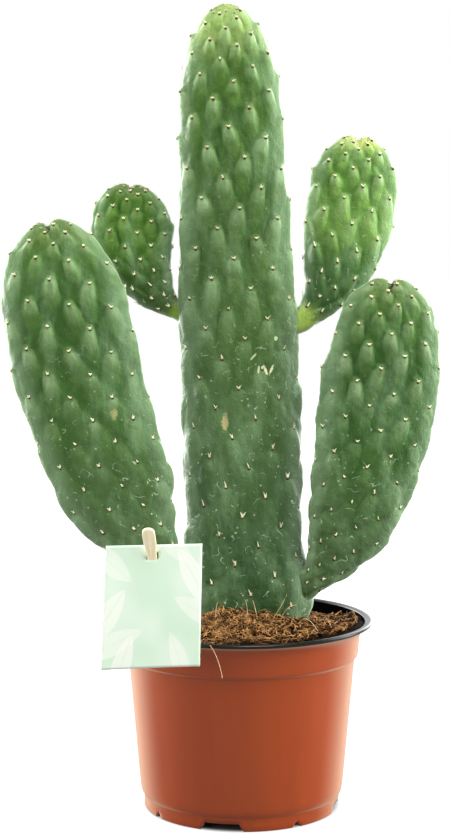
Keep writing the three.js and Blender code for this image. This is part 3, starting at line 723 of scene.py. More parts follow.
def lift(degrees):
    """How far the foot ring's underside is raised at each angle: full inside a slot, sloping at its sides.

    A slot is its middle angle, its half-width at the bottom and at the top, and its height."""
    raised = np.zeros_like(degrees)
    for middle, bottom, top, height in DRAINS + NOTCHES:
        away = (degrees - middle + 180) % 360 - 180
        across = np.abs(np.radians(away)) * FOOT_RADIUS
        raised = np.maximum(raised, height * np.clip((bottom - across) / max(bottom - top, 1e-6), 0, 1))
    return raised


def outward(degrees):
    """A level direction, with 0 degrees toward the viewer and 90 degrees to the viewer's right."""
    return np.stack([np.sin(np.radians(degrees)), -np.cos(np.radians(degrees)), np.zeros_like(degrees)], -1)


edges = [middle + way * np.degrees(reach / FOOT_RADIUS)
         for middle, bottom, top, _ in DRAINS + NOTCHES for reach in (bottom, top) for way in (-1, 1)]
turns = np.unique(np.round(np.concatenate([np.arange(0, 360, 2.5), np.mod(edges, 360)]), 3))
profile = np.array(OUTSIDE[1:] + INSIDE[:-1], float)
radius, height = profile[:, :1], profile[:, 1:]
on_foot = (height < 5.5) & (radius < 64.5) & (radius > 58)
ring = outward(turns)[None] * radius[..., None]
ring[..., 2] = np.where(on_foot, np.maximum(height, lift(turns)[None]), height)
pot_mesh = closed_skin(ring, (0, 0, OUTSIDE[0][1]), (0, 0, INSIDE[-1][1]), clockwise=False)
pot = make_piece("pot_shell", *pot_mesh, "pot_plastic", "pot")

# %% [markdown]
# ## The soil
# The pot is filled with coir and peat, mounded against the stem and banked up towards the rim at the right.
# The bed is a disc of rings whose height is a formula, with lumps from sine waves, on a wall of rings that
# follow the pot's inside. A displaced plane would also do, but rings meet the pot's wall all round with one
# even gap.

# %% Soil bed
SOIL_GAP = 0.35
SOIL_FOOT = 7.6
SOIL_SHOULDER = 107
SOIL_LEVEL = 117
BED_EDGE = 76.5
BED_RINGS = 52
INNER = np.array(sorted([(z, r) for r, z in INSIDE if 7.2 <= z <= 122.5 and 50 < r < 81]), float)


def inner_radius(z):
    """The pot's inner radius at a height, straight between the profile's points."""
    return np.interp(z, INNER[:, 0], INNER[:, 1])


def soil_height(x, y):
    """The soil's level, with a mound round the stem, a dip at the back, lumps and a bank at the right.

    The mound is a bell curve each way, the dip and the bank are smoothsteps, and the lumps are sine waves."""
    mound = 13 * bell(x + 4, 46) * bell(y + 14, 34)
    broad = 0.8 * np.sin(0.21 * x + 1) * np.cos(0.17 * y) + 0.5 * np.sin(0.33 * y - 0.12 * x)
    banked = 2.6 * smoothstep(np.hypot(x, y), 58, 76) * smoothstep(x - 0.4 * y, 0, 45)
    banked = 2.2 * smoothstep(x - 0.9 * y, 20, 75) + banked
    return SOIL_LEVEL + mound - 5 * smoothstep(y, 0, 60) + banked + broad


def wall_ring(level):
    """A ring just inside the pot's wall, at one level all round or at a level for each angle."""
    level = level * np.ones(len(angles))
    return outward(angles) * (inner_radius(level) - SOIL_GAP)[:, None] + level[:, None] * [0.0, 0.0, 1.0]


rng = np.random.default_rng(101)
angles = np.arange(0, 360, 2.0)
shares = np.linspace(1, 0.02, BED_RINGS)
edge = outward(angles) * BED_EDGE
bed_radius = inner_radius(soil_height(edge[:, 0], edge[:, 1])) - SOIL_GAP
flat = outward(angles)[None] * (bed_radius * shares[:, None])[..., None]
flat[..., 2] = soil_height(flat[..., 0], flat[..., 1])
clods = 0.9 * waves(flat, 7, 9.0) + 0.7 * waves(flat, 8, 4.5) + 0.45 * waves(flat, 9, 2.4)
clods = clods + rng.normal(0, 0.22, flat.shape[:2])
flat[..., 2] += clods * smoothstep(shares, 1.0, 0.9)[:, None] - 0.4
side_rings = [wall_ring(level) for level in (SOIL_FOOT, 14.5, 99.2, 102.4, SOIL_SHOULDER)]
to_edge = flat[0, :, 2] - SOIL_SHOULDER
side_rings += [wall_ring(SOIL_SHOULDER + share * to_edge) for share in (0.35, 0.6, 0.8, 0.92)]
bed = np.concatenate([np.stack(side_rings), flat])
bed_mesh = closed_skin(bed, (0, 0, SOIL_FOOT), (0, 0, soil_height(0.0, 0.0)), clockwise=False)
soil = make_piece("soil_bed", *bed_mesh, "soil", "soil")

# %% [markdown]
# ### Crumbs, fibres and straws
# Loose crumbs lie on the bed, with hundreds of curly coir fibres, some of them long. They are scattered on
# the bed's own formula, so each one touches it, and one fixed seed keeps their places. The few long straws
# that stand out in the picture are curves of their own.

# %% Crumbs and fibres
# The stem's oval at the soil: its middle and its two radii.
TRUNK_AT_SOIL = (1.3, 0.0, 37.0, 13.5)
FIBRE_REACH = 75.5
FIBRE_STEPS = 9
TUCK = 6
CRUMBS = 2800


def outside_trunk(x, y, margin):
    """True where a point on the soil is clear of the stem's oval section."""
    cx, cy, rx, ry = TRUNK_AT_SOIL
    return ((x - cx) / (rx + margin)) ** 2 + ((y - cy) / (ry + margin)) ** 2 > 1


def scatter(count, margin, reach):
    """Random points on the soil, clear of the stem, within a reach of the pot's axis."""
    spots = rng.uniform(-80, 80, (count * 4, 2))
    good = (np.hypot(spots[:, 0], spots[:, 1]) < reach) & outside_trunk(spots[:, 0], spots[:, 1], margin)
    x, y = spots[good][:count].T
    return np.stack([x, y, soil_height(x, y)], -1)


def fibres(count, length, radius, curl, rise, crowd=None):
    """Curly strands on the soil: a start, a heading that wanders, and a height that arches over the bed.

    The heading is a running sum of small random turns, and the arch is a parabola. A crowd gathers the strands
    round one place. Points that pass the reach are drawn in, and points inside the stem are tucked deeper."""
    start = scatter(count, 3.0, FIBRE_REACH)
    if crowd is not None:
        start[:, :2] = rng.normal(crowd[:2], crowd[2:], (len(start), 2))
        near = np.hypot(start[:, 0], start[:, 1]) < FIBRE_REACH
        start = start[outside_trunk(start[:, 0], start[:, 1], 2.0) & near]
    n, steps = len(start), FIBRE_STEPS
    heading = rng.uniform(0, 2 * np.pi, (n, 1)) + np.cumsum(rng.normal(0, curl, (n, steps)), axis=1)
    step = (rng.uniform(*length, (n, 1)) / steps) * np.ones((1, steps))
    x = start[:, :1] + np.cumsum(step * np.cos(heading), axis=1)
    y = start[:, 1:2] + np.cumsum(step * np.sin(heading), axis=1)
    pull = np.minimum(1, FIBRE_REACH / np.maximum(np.hypot(x, y), 1e-6))
    x, y = x * pull, y * pull
    y = np.where(outside_trunk(x, y, 1.5), y, y + TUCK * np.sign(1e-6 - y))
    t = np.linspace(0, 1, steps)[None]
    arch = rng.uniform(*rise, (n, 1)) * 4 * t * (1 - t) + rng.uniform(-0.4, 0.9, (n, 1))
    arch = arch + rng.normal(0, 0.25, (n, steps))
    paths = np.stack([x, y, soil_height(x, y) + arch], -1)
    return strands(paths, rng.uniform(*radius, (n, 1)) * (1 - 0.6 * t**2) * np.ones((n, steps)), 3)


crumb_spots = scatter(CRUMBS, 0.5, 76.0)
crumb_ways = unit(rng.normal(size=(len(crumb_spots), 3, 3)))
crumb_sizes = rng.uniform(0.5, 1.9, (len(crumb_spots), 1)) * rng.uniform(0.6, 1.1, (len(crumb_spots), 3))
crumb_spots[:, 2] += 0.2
make_piece("soil_crumbs", *lumps(crumb_spots, crumb_ways, crumb_sizes, rng, 0.35), "soil", smooth=False)
dark = joined([
    fibres(700, (6, 16), (0.25, 0.5), 0.5, (0.3, 1.8)),
    fibres(260, (10, 26), (0.2, 0.35), 0.42, (0.5, 3)),
])
make_piece("soil_fibres_dark", *dark, "soil")
light = joined([
    fibres(800, (6, 16), (0.2, 0.46), 0.5, (0.4, 3.4), crowd=(-14, -34, 26, 15)),
    fibres(680, (7, 18), (0.2, 0.42), 0.45, (0.4, 3.0)),
    fibres(160, (14, 30), (0.18, 0.3), 0.3, (0.8, 4)),
])
make_piece("soil_fibres_light", *light, "soil")

# %% A few long loose straws
# Each straw: the four corners of its curve, and its radius.
STRAWS = [
    ([(-17, -28, 129), (-16.8, -29, 134), (-16.4, -31, 138), (-15.5, -33, 140.5)], 0.34),
    ([(3.6, -27, 128), (3.4, -28, 134), (3.2, -30, 139), (1.6, -32, 142)], 0.34),
    ([(9.6, -28, 128), (9, -29, 133), (8.2, -30, 137), (6.8, -31, 141)], 0.3),
    ([(19, -27, 127), (23, -29, 134), (25.5, -30, 138), (28.6, -31, 145)], 0.32),
    ([(24, -28, 126), (27, -30, 136), (31, -31, 138), (35, -32, 138.5)], 0.24),
    ([(36, -25, 124), (39, -28, 131), (43, -32, 131), (49, -38, 121)], 0.28),
    ([(52, -20, 120), (54, -24, 128), (56, -28, 130), (58, -33, 119)], 0.3),
    ([(-22, -70, 119), (-23, -84, 129), (-15, -89, 121), (-12.5, -87.2, 104)], 0.3),
]
t = np.linspace(0, 1, 14)
straws = [strands(bezier(corners, t)[None], thick * (1 - 0.5 * t[None]), 5) for corners, thick in STRAWS]
make_piece("soil_straws", *joined(straws), "soil")

# %% [markdown]
# ## The label
# A small card hangs on a flat wooden stake through a slot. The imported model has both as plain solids. Here
# the stake gets its rounded head and narrower neck, from widths at stations down its length, and the card
# becomes a slightly bowed sheet with the same outline. A cloth simulation could bow it, but the card is
# stiff, so one formula does it. Its pale leaves are part of its finish.

# %% Stake
STAKE_TURN = 0.09
STAKE_BURIED = 24
STAKE_ROUND = 0.45
stake_top, stake_soil = np.array([-57.2, -97.3, 197.6]), np.array([-48.4, -52.0, 120.0])
down = unit(stake_soil - stake_top)
whole = np.linalg.norm(stake_soil - stake_top) + STAKE_BURIED
across = unit(np.array([math.cos(STAKE_TURN), 0, 0]) - down * down[0])
normal = np.cross(across, down)
# The stake's half-width at distances from its top.
STAKE_WIDTHS = [
    (0, 1.2), (0.4, 2.3), (1.2, 3.2), (2.6, 3.75), (4.4, 3.9), (11, 3.9), (13.5, 3.65), (17, 3.05),
    (20, 2.95), (26, 2.95), (29, 3.3), (33, 3.9), (60, 3.85),
    (whole - 14, 3.75), (whole - 5, 2.6), (whole, 1.0),
]
rows_at, widths_at = np.array(STAKE_WIDTHS).T
fine = np.unique(np.concatenate([rows_at, np.linspace(0, whole, 60)]))
half = np.interp(fine, rows_at, widths_at)
stake_turns = np.linspace(0, 2 * np.pi, 24, endpoint=False)
ring_x, ring_y = (signed_power(wave(stake_turns), STAKE_ROUND) for wave in (np.cos, np.sin))
stake_grid = (stake_top + down * fine[:, None])[:, None] + across * (half[:, None] * ring_x)[..., None]
stake_grid = stake_grid + normal * (np.minimum(1.0, half * 0.7)[:, None] * ring_y)[..., None]
points, faces = closed_skin(stake_grid, stake_top, stake_top + down * whole)
grain_ways = {f"grain_{axis}": points @ way for axis, way in zip("xyz", (across, normal, down * 0.05))}
stake = make_piece("label_stake_wood", points, faces, "stake_wood", "label_stake", attributes=grain_ways)

# %% Card
CARD_CORNERS = np.array([(-86.4, 108.9), (-26.2, 111.3), (-24.6, 186.6), (-83.0, 185.2)])
CARD_Y = -86.4
CARD_THICKNESS = 0.0008
SLOT_MIDDLE, SLOT_REACH, SLOT_LOW, SLOT_HIGH = 0.4875, 0.0745, 0.88, 0.94


def card_sheet(u, v):
    """A point on the card: its four corners blended by the shares across and up."""
    a, b, c, d = CARD_CORNERS
    low = a + (b - a) * u[..., None]
    high = d + (c - d) * u[..., None]
    return low + (high - low) * v[..., None]


def card_curl(u, v):
    """How far the card bows: its lower corners curl forward with a square, its middle with half a sine wave."""
    return -0.9 * (2 * u - 1) ** 2 * (1 - v) - 0.5 * np.sin(np.pi * v) + 0.4


u, v = np.meshgrid(np.linspace(0, 1, 41), np.linspace(0, 1, 51))
flat_card = card_sheet(u, v)
front = np.stack([flat_card[..., 0], CARD_Y + card_curl(u, v), flat_card[..., 1]], -1)
quads = grid_faces(*u.shape, closed=False)
middle_u, middle_v = u.ravel()[quads].mean(1), v.ravel()[quads].mean(1)
hole = (np.abs(middle_u - SLOT_MIDDLE) < SLOT_REACH) & (middle_v > SLOT_LOW) & (middle_v < SLOT_HIGH)
card = make_piece("label_card_sheet", front.reshape(-1, 3), [quads[~hole]], "label_card", "label_card")
card_uv = card.data.uv_layers.new(name="sheet")
corner_points = np.zeros(len(card.data.loops), np.int32)
card.data.loops.foreach_get("vertex_index", corner_points)
card_uv.data.foreach_set("uv", np.stack([u.ravel(), v.ravel()], -1)[corner_points].astype(np.float32).ravel())
thicken = card.modifiers.new("thickness", "SOLIDIFY")
thicken.thickness = CARD_THICKNESS
thicken.offset = -1

# %% [markdown]
# ## Finishes
# Shader node groups hold what several materials share. Each gives masks and heights only, and every
# material keeps its own Principled shader. A small class adds the nodes, so that a material reads as a list
# of layers.


# %% Node helpers
def linear(red, green, blue):
    """A colour as seen on screen, from 0 to 255 a channel, as the linear values that a shader takes."""
    c = np.array([red, green, blue]) / 255
    return (*np.where(c <= 0.04045, c / 12.92, ((c + 0.055) / 1.055) ** 2.4), 1.0)


class Nodes:
    """A node tree with short ways to add to it: add and cells give all outputs, the others give one."""

    def __init__(self, tree):
        self.tree = tree

    def join(self, node, **values):
        """Links or sets inputs of a node. An input is named, or numbered as s0, s1."""
        for key, value in values.items():
            numbered = key[0] == "s" and key[1:].isdigit()
            socket = node.inputs[int(key[1:]) if numbered else key.replace("_", " ")]
            if isinstance(value, bpy.types.NodeSocket):
                self.tree.links.new(value, socket)
            else:
                socket.default_value = value

    def add(self, kind, settings=None, **values):
        """A node of a kind, with its settings and its inputs."""
        node = self.tree.nodes.new("ShaderNode" + kind)
        for key, value in (settings or {}).items():
            setattr(node, key, value)
        self.join(node, **values)
        return node.outputs

    def place(self):
        """The place on a piece, in the piece's own coordinates."""
        return self.add("TexCoord")["Object"]

    def drawn_up(self, vector, share):
        """The place with its height shrunk to a share, which draws a pattern out upright."""
        return self.add("Mapping", Vector=vector, Scale=(1.0, 1.0, share))[0]

    def attribute(self, name):
        """A value stored at the mesh's points."""
        return self.add("Attribute", {"attribute_name": name})["Fac"]

    def noise(self, vector, scale, detail=2.0, rough=0.5):
        """A cloudy pattern from 0 to 1."""
        return self.add("TexNoise", Vector=vector, Scale=scale, Detail=detail, Roughness=rough)["Fac"]

    def cells(self, vector, scale):
        """Scattered cells: the distance to the nearest, and a colour for each."""
        return self.add("TexVoronoi", {"feature": "F1"}, Vector=vector, Scale=scale, Randomness=1.0)

    def reckon(self, operation, a, b=0.0):
        """One step of arithmetic."""
        return self.add("Math", {"operation": operation}, s0=a, s1=b)[0]

    def times(self, first, *others):
        """The product of all the values."""
        for other in others:
            first = self.reckon("MULTIPLY", first, other)
        return first

    def total(self, *parts):
        """The sum of the values, each times its weight."""
        sums = [value if weight == 1 else self.times(value, weight) for value, weight in parts]
        result = sums[0]
        for other in sums[1:]:
            result = self.reckon("ADD", result, other)
        return result

    def span(self, value, low, high, to_low=0.0, to_high=1.0):
        """A value moved smoothly from one range to another, held inside it."""
        smooth = {"interpolation_type": "SMOOTHSTEP"}
        return self.add("MapRange", smooth, s0=value, s1=low, s2=high, s3=to_low, s4=to_high)[0]

    def mix(self, mask, a, b, mode="MIX"):
        """Two colours blended by a mask."""
        return self.add("Mix", {"data_type": "RGBA", "blend_type": mode}, s0=mask, s6=a, s7=b)[2]

    def layers(self, tone, *coats):
        """Coats over a tone, each a mask and a screen colour, or a mask, three factors and MULTIPLY."""
        for mask, colour, *mode in coats:
            tone = self.mix(mask, tone, (*colour, 1.0) if mode else linear(*colour), *mode)
        return tone

    def bump(self, height, strength, distance):
        """The surface's direction, tilted by a height."""
        return self.add("Bump", Height=height, Strength=strength, Distance=distance)["Normal"]


def new_group(name, inputs, outputs):
    """An empty node group of plain values: its nodes, its inputs' sockets and its output node."""
    group = bpy.data.node_groups.new(name, "ShaderNodeTree")
    for label, value in inputs.items():
        group.interface.new_socket(label, in_out="INPUT", socket_type="NodeSocketFloat").default_value = value
    for label in outputs:
        group.interface.new_socket(label, in_out="OUTPUT", socket_type="NodeSocketFloat")
    given, gives = group.nodes.new("NodeGroupInput"), group.nodes.new("NodeGroupOutput")
    return Nodes(group), given.outputs, gives


def new_material(name):
    """A material with one Principled shader: the material, its nodes and the shader."""
    material = bpy.data.materials.new(name)
    material.use_nodes = True
    tree = material.node_tree
    tree.nodes.clear()
    shader = tree.nodes.new("ShaderNodeBsdfPrincipled")
    tree.links.new(shader.outputs[0], tree.nodes.new("ShaderNodeOutputMaterial").inputs[0])
    return material, Nodes(tree), shader


def wear(piece, *materials):
    """Puts materials on a piece, which is given itself or by its name."""
    piece = bpy.data.objects[piece] if isinstance(piece, str) else piece
    for material in materials:
        piece.data.materials.append(material)


# %% [markdown]
# ### Cactus skin
# The skin is green under a pale wax, which lies thickest on noses and crests and in patches, and on noses
# and crests a painted highlight is added to it. Young skin is yellower. Old skin carries pale specks, fine
# scratches and tan scabs. Grooves, folds, the split below a notch and the skin round each areole are darker
# with painted shade, the narrow sides are paler with a painted rim light, and skin that turns away is paler
# with a painted sheen. The masks come from noise and cell patterns at the scales seen on the plant, and the
# ridge and areole values stored in the mesh put them in the right places. An image could be painted instead,
# but nodes stay sharp at any distance and need no file.

# %% Weathered skin group
weather, given, gives = new_group(
    "skin_weather", {"Along": 0.5}, ["Bloom", "Speck", "Scratch", "Scab", "Mottle", "Height"]
)
where = weather.place()
tall, streaked = weather.drawn_up(where, 0.32), weather.drawn_up(where, 0.75)
old = weather.span(given["Along"], 0.15, 0.85, 1.0, 0.12)
bloom = weather.span(weather.noise(tall, 75.0, 5.0, 0.62), 0.42, 0.72)
few = weather.span(weather.noise(where, 90.0), 0.47, 0.6)
speck = weather.times(weather.span(weather.cells(where, 190.0)["Distance"], 0.17, 0.1), few, old)
thin = weather.reckon("ABSOLUTE", weather.reckon("SUBTRACT", weather.noise(where, 105.0, 1.0, 0.4), 0.5))
broken = weather.span(weather.noise(where, 230.0, 1.0), 0.56, 0.62)
scratch = weather.times(weather.span(thin, 0.011, 0.003), broken, old)
spots = weather.cells(tall, 46.0)
rare = weather.reckon("GREATER_THAN", weather.add("SeparateColor", Color=spots["Color"])[0], 0.86)
edge = weather.total((spots["Distance"], 1), (weather.noise(where, 420.0, 3.0), 0.12))
scab = weather.times(weather.span(edge, 0.19, 0.13), rare, old)
streak = weather.noise(streaked, 210.0, 6.0, 0.72)
broad, finest = weather.noise(where, 42.0, 6.0, 0.66), weather.noise(where, 620.0, 3.0, 0.7)
mottle = weather.total((broad, 0.45), (streak, 0.4), (finest, 0.15))
pores, ripple = weather.noise(where, 700.0, 3.0, 0.6), weather.noise(streaked, 190.0, 4.0, 0.62)
height = weather.total((pores, 0.3), (ripple, 1), (streak, 0.25), (scab, 0.9), (speck, 0.5))
weather.join(gives, Bloom=bloom, Speck=speck, Scratch=scratch, Scab=scab, Mottle=mottle, Height=height)
print("skin_weather:", len(weather.tree.nodes), "nodes")


# %% Skin materials
def scar(n, centre, turned, size, shade, share):
    """A ragged mark of one shade inside an oval ball, in millimetres: its distance and a noise, cut off."""
    where = n.place()
    local = n.add("Mapping", {"vector_type": "TEXTURE"}, Vector=where, Location=tuple(to_metres(centre)),
                  Rotation=(0, turned, 0), Scale=tuple(0.001 * side for side in size))[0]
    away = n.add("VectorMath", {"operation": "LENGTH"}, s0=local)["Value"]
    ragged = n.total((away, 1), (n.noise(where, 620.0, 4.0, 0.75), 1.8))
    return n.span(ragged, 1.85, 1.55, 0.0, share), shade


def skin_material(name, tones, wax, young_from, neck=None, scars=()):
    """The skin in coats: green by age, then wax with a painted highlight on noses and ridges, painted shade
    in grooves, folds, round areoles and in the split, marks, and painted rim light and sheen on the edges.
    """
    material, n, shader = new_material(name)
    keys = ("along", "ridge", "nose", "areole", "split", "fold", "side")
    along, ridge, nose, near, split, fold, side = (n.attribute(key) for key in keys)
    marks = n.add("Group", {"node_tree": weather.tree}, Along=along)
    mottle, bloom = marks["Mottle"], marks["Bloom"]
    aged = n.total((along, 1), (n.span(mottle, 0.3, 0.7, -0.1, 0.1), 1))
    grown = n.span(along, 0.2, 0.8, 0.14, 1.0)
    nose_wax_and_painted_highlight = n.times(nose, n.span(bloom, 0.0, 1.0, 0.4, 0.9), grown)
    crest_wax_and_painted_highlight = n.times(n.span(ridge, 0.4, 0.95, 0.0, 0.22), n.span(along, 0.35, 0.75, 0.1, 1.0))
    groove_painted_shade = n.times(n.span(ridge, 0.34, 0.04, 0.0, 0.75), grown, n.span(along, 0.97, 0.82, 0.2, 1.0))
    facing = n.add("LayerWeight")["Facing"]
    low, full, high, tip = tones
    tone = n.layers(
        linear(*low),
        (n.span(aged, 0.1, 0.55), full),
        (n.span(aged, young_from, young_from + 0.22), high),
        (n.span(along, 0.9, 0.985), tip),
        *([(n.span(along, 0.13, 0.03), neck)] if neck else []),
        (n.span(mottle, 0.42, 0.57, 0.0, 0.74), (0.6, 0.71, 0.5), "MULTIPLY"),
        # Wax on noses and crests, with a painted highlight in it.
        (nose_wax_and_painted_highlight, wax),
        (crest_wax_and_painted_highlight, wax),
        # Painted shade: the grooves between tubercles are darkened.
        (groove_painted_shade, (0.42, 0.6, 0.3), "MULTIPLY"),
        # Painted shade: the fold beside each nose is darkened.
        (n.times(n.span(fold, 0.25, 0.9, 0.0, 0.8), grown), (0.34, 0.48, 0.28), "MULTIPLY"),
        (n.times(bloom, 0.34), (128, 160, 118)),
        (n.times(marks["Speck"], 0.75), (178, 190, 150)),
        (n.times(marks["Scratch"], 0.75), (166, 188, 158)),
        *(scar(n, *mark) for mark in scars),
        (n.times(marks["Scab"], 0.8), (186, 168, 122)),
        # Painted shade: a dark patch on the skin round each areole.
        (n.span(near, 0.35, 0.95, 0.0, 0.75), (58, 56, 30)),
        # Painted shade: the split that runs down from a notch is darkened.
        (n.span(split, 0.25, 0.9, 0.0, 0.9), (38, 32, 20)),
        # Painted rim light: the narrow sides of each segment are made paler and greyer.
        (n.span(side, 0.3, 0.9, 0.0, 0.24), (150, 178, 142)),
        # Painted sheen: skin that turns away is made paler.
        (n.span(facing, 0.46, 0.94, 0.0, 0.56), (196, 216, 184)),
    )
    n.join(
        shader, Base_Color=tone, Normal=n.bump(marks["Height"], 0.85, 0.0016), Specular_IOR_Level=0.42,
        Roughness=n.total((n.span(bloom, 0.0, 1.0, 0.38, 0.54), 1), (marks["Scab"], 0.2)),
        Subsurface_Weight=0.05, Subsurface_Radius=(0.004, 0.006, 0.002), Subsurface_Scale=0.3,
    )
    return material


# Each mark: its place, its turn, its size, its shade and its share.
TRUNK_SCARS = [
    ((-10.9, -14, 253.4), 0.05, (2.6, 8, 6.3), (176, 166, 112), 0.8),
    ((15.0, -13.5, 286.6), -0.4, (1.0, 8, 4.2), (216, 214, 170), 0.9),
    ((18.7, -13.5, 286.9), 0.4, (1.0, 8, 4.2), (216, 214, 170), 0.9),
    ((10.6, -14, 287.5), 0.1, (0.9, 8, 2.8), (196, 206, 160), 0.8),
    ((7.2, -14, 295.5), 0.75, (0.8, 8, 3.6), (186, 200, 150), 0.7),
    ((-24.0, -13.5, 296.0), 1.4, (0.5, 8, 3.4), (150, 172, 140), 0.6),
    ((21.8, -13, 307.0), 0.0, (1.5, 8, 1.7), (188, 214, 160), 0.8),
    ((36.0, -6.5, 275.0), 0.2, (3.4, 9, 7.0), (146, 180, 146), 0.55),
]
LEFT_PAD_SCARS = [
    ((-81.0, -31, 259.6), 0.15, (2.8, 8, 4.4), (160, 158, 98), 0.65),
    ((-60.0, -30, 226.0), 0.5, (1.5, 8, 2.4), (150, 170, 130), 0.5),
]
# Each segment's tones low down, full-grown, young and at the tip, then its wax and its own marks.
SKIN_TONES = {
    "trunk": dict(tones=[(52, 80, 45), (73, 101, 51), (76, 109, 41), (150, 174, 98)],
                  wax=(146, 174, 128), young_from=0.66, scars=TRUNK_SCARS),
    "pad_lower_left": dict(tones=[(69, 93, 55), (64, 97, 40), (82, 117, 52), (96, 121, 58)],
                           wax=(140, 164, 116), young_from=0.7, scars=LEFT_PAD_SCARS),
    "pad_lower_right": dict(tones=[(69, 95, 55), (56, 91, 34), (77, 110, 48), (91, 114, 55)],
                            wax=(136, 158, 114), young_from=0.7),
    "pad_upper_left": dict(tones=[(50, 76, 27), (53, 91, 16), (70, 110, 23), (91, 113, 46)],
                           wax=(120, 150, 80), young_from=0.45, neck=(128, 156, 50)),
    "pad_upper_right": dict(tones=[(52, 86, 37), (67, 102, 45), (112, 148, 70), (190, 205, 114)],
                            wax=(160, 188, 132), young_from=0.34, neck=(144, 170, 66)),
}
for name, tones in SKIN_TONES.items():
    wear(skins[name], skin_material(f"{name}_skin", **tones))
print("skin materials:", len(SKIN_TONES))


# %% [markdown]
# ### Matt finishes
# Spines, felt, bristles, soil, crumbs and fibres are small, so two mottled tones and a fine grain are
# enough for each, and one function makes them all. On the trunk the spines are duller and the cushions tan,
# as old ones are.


# %% Spines, felt and bristles
def plain_material(name, tones, scale, rough, bump_strength=0.3, bump_distance=0.0003, shine=0.5):
    """A finish of two mottled tones with a fine grain."""
    material, n, shader = new_material(name)
    where = n.place()
    patch = n.span(n.noise(where, scale, 4.0, 0.6), 0.3, 0.7)
    grain = n.bump(n.noise(where, scale * 6, 3.0), bump_strength, bump_distance)
    n.join(shader, Base_Color=n.mix(patch, linear(*tones[0]), linear(*tones[1])), Roughness=rough,
           Specular_IOR_Level=shine, Normal=grain)
    return material


felt_finish = plain_material("felt_dark_brown", ((36, 34, 18), (86, 78, 46)), 500.0, 0.9, 0.6, shine=0.2)
bristle_finish = plain_material("bristle_straw", ((200, 188, 136), (236, 228, 184)), 300.0, 0.6)
PAD_FINISHES = (
    plain_material("spine_cream", ((230, 226, 184), (251, 249, 224)), 260.0, 0.5),
    plain_material("felt_cream", ((202, 192, 136), (246, 242, 198)), 500.0, 0.8, 0.6, shine=0.2),
)
TRUNK_FINISHES = (
    plain_material("spine_weathered", ((204, 204, 158), (244, 243, 214)), 260.0, 0.5),
    plain_material("felt_tan", ((146, 112, 72), (238, 230, 188)), 420.0, 0.8, 0.6, shine=0.2),
)
for name in stems:
    spine_finish, cushion_finish = TRUNK_FINISHES if name == "trunk" else PAD_FINISHES
    wear(f"{name}_felt", felt_finish)
    wear(f"{name}_cushions", cushion_finish)
    wear(f"{name}_spines", spine_finish)
    wear(f"{name}_bristles", bristle_finish)

# %% [markdown]
# ### Moulded plastic
# The pot's outside is satin plastic: even in colour, with a faint vertical flow, fine scuffs that only the
# light shows, and a painted sheen that pales its colour where it turns away. The inside is black, and its
# rolled rim is rubbed grey.

# %% Pot materials
moulded, given, gives = new_group("moulded_plastic", {"Grain": 900.0}, ["Flow", "Scuff", "Height"])
where = moulded.place()
upright = moulded.drawn_up(where, 0.12)
grain, streak = moulded.noise(where, given["Grain"]), moulded.noise(upright, 260.0, 3.0, 0.6)
moulded.join(
    gives, Flow=moulded.noise(upright, 38.0, 4.0, 0.55), Height=moulded.total((grain, 0.5), (streak, 0.5)),
    Scuff=moulded.span(moulded.noise(where, 95.0, 6.0, 0.7), 0.58, 0.74),
)


def plastic_material(name, deep, pale, scuffed, rough, scuff_share, shine, sheen=0.0):
    """Moulded plastic: two tones that flow upright, scuffs over them, and a painted sheen where it turns away.
    """
    material, n, shader = new_material(name)
    marks = n.add("Group", {"node_tree": moulded.tree}, Grain=1400.0)
    tone = n.layers(
        n.mix(n.span(marks["Flow"], 0.3, 0.7), linear(*deep), linear(*pale)),
        (n.times(marks["Scuff"], scuff_share), scuffed),
        # Painted sheen: the colour pales where the surface turns away.
        (n.span(n.add("LayerWeight")["Facing"], 0.38, 0.9, 0.0, sheen), (206, 165, 132)),
    )
    n.join(shader, Base_Color=tone, Roughness=n.span(marks["Scuff"], 0.0, 1.0, *rough),
           Specular_IOR_Level=shine, Normal=n.bump(marks["Height"], 0.18, 0.0004))
    return material


wear(
    pot,
    plastic_material(
        "pot_terracotta", (130, 50, 8), (138, 55, 11), (150, 77, 34), (0.3, 0.4), 0.25, 0.5, sheen=0.58,
    ),
    plastic_material("pot_rim", (5, 5, 5), (9, 9, 9), (50, 52, 54), (0.28, 0.45), 0.4, 0.5),
    plastic_material("pot_lining", (3, 3, 3), (6, 5, 5), (22, 18, 15), (0.85, 0.95), 0.4, 0.0),
)
TERRACOTTA, RIM, LINING = range(3)
on_rim = (profile[:-1, 1] > 122.9) | (profile[:-1, 0] > 83.5)
black = np.arange(len(profile) - 1) >= len(OUTSIDE) - 2
ring_finish = np.where(black, np.where(on_rim, RIM, LINING), TERRACOTTA)
finish = np.repeat([*ring_finish, TERRACOTTA, LINING], len(turns)).astype(np.int32)
pot.data.polygons.foreach_set("material_index", finish)
print("pot faces that are black:", int((finish != TERRACOTTA).sum()))

# %% Soil materials
wear(soil, plain_material("soil_peat", ((5, 3, 2), (30, 18, 9)), 420.0, 0.95, 0.9, 0.0012, 0.1))
wear("soil_crumbs", plain_material("soil_crumb", ((9, 6, 3), (74, 45, 24)), 160.0, 0.95, 0.8, 0.0008, 0.1))
wear("soil_fibres_dark", plain_material("coir_dark", ((10, 6, 3), (88, 52, 22)), 160.0, 0.8, shine=0.15))
wear("soil_fibres_light", plain_material("coir_light", ((28, 15, 6), (206, 152, 92)), 230.0, 0.7, shine=0.3))
wear("soil_straws", plain_material("straw_pale", ((176, 140, 92), (218, 192, 146)), 90.0, 0.7))

# %% [markdown]
# ### Wood and printed card
# The stake is pale birch, with grain along its length. The card is coated board in a pale mint, printed
# with pale generic leaves round its edge. Each leaf is a mask in its own turned and stretched axes, so no
# picture is needed.

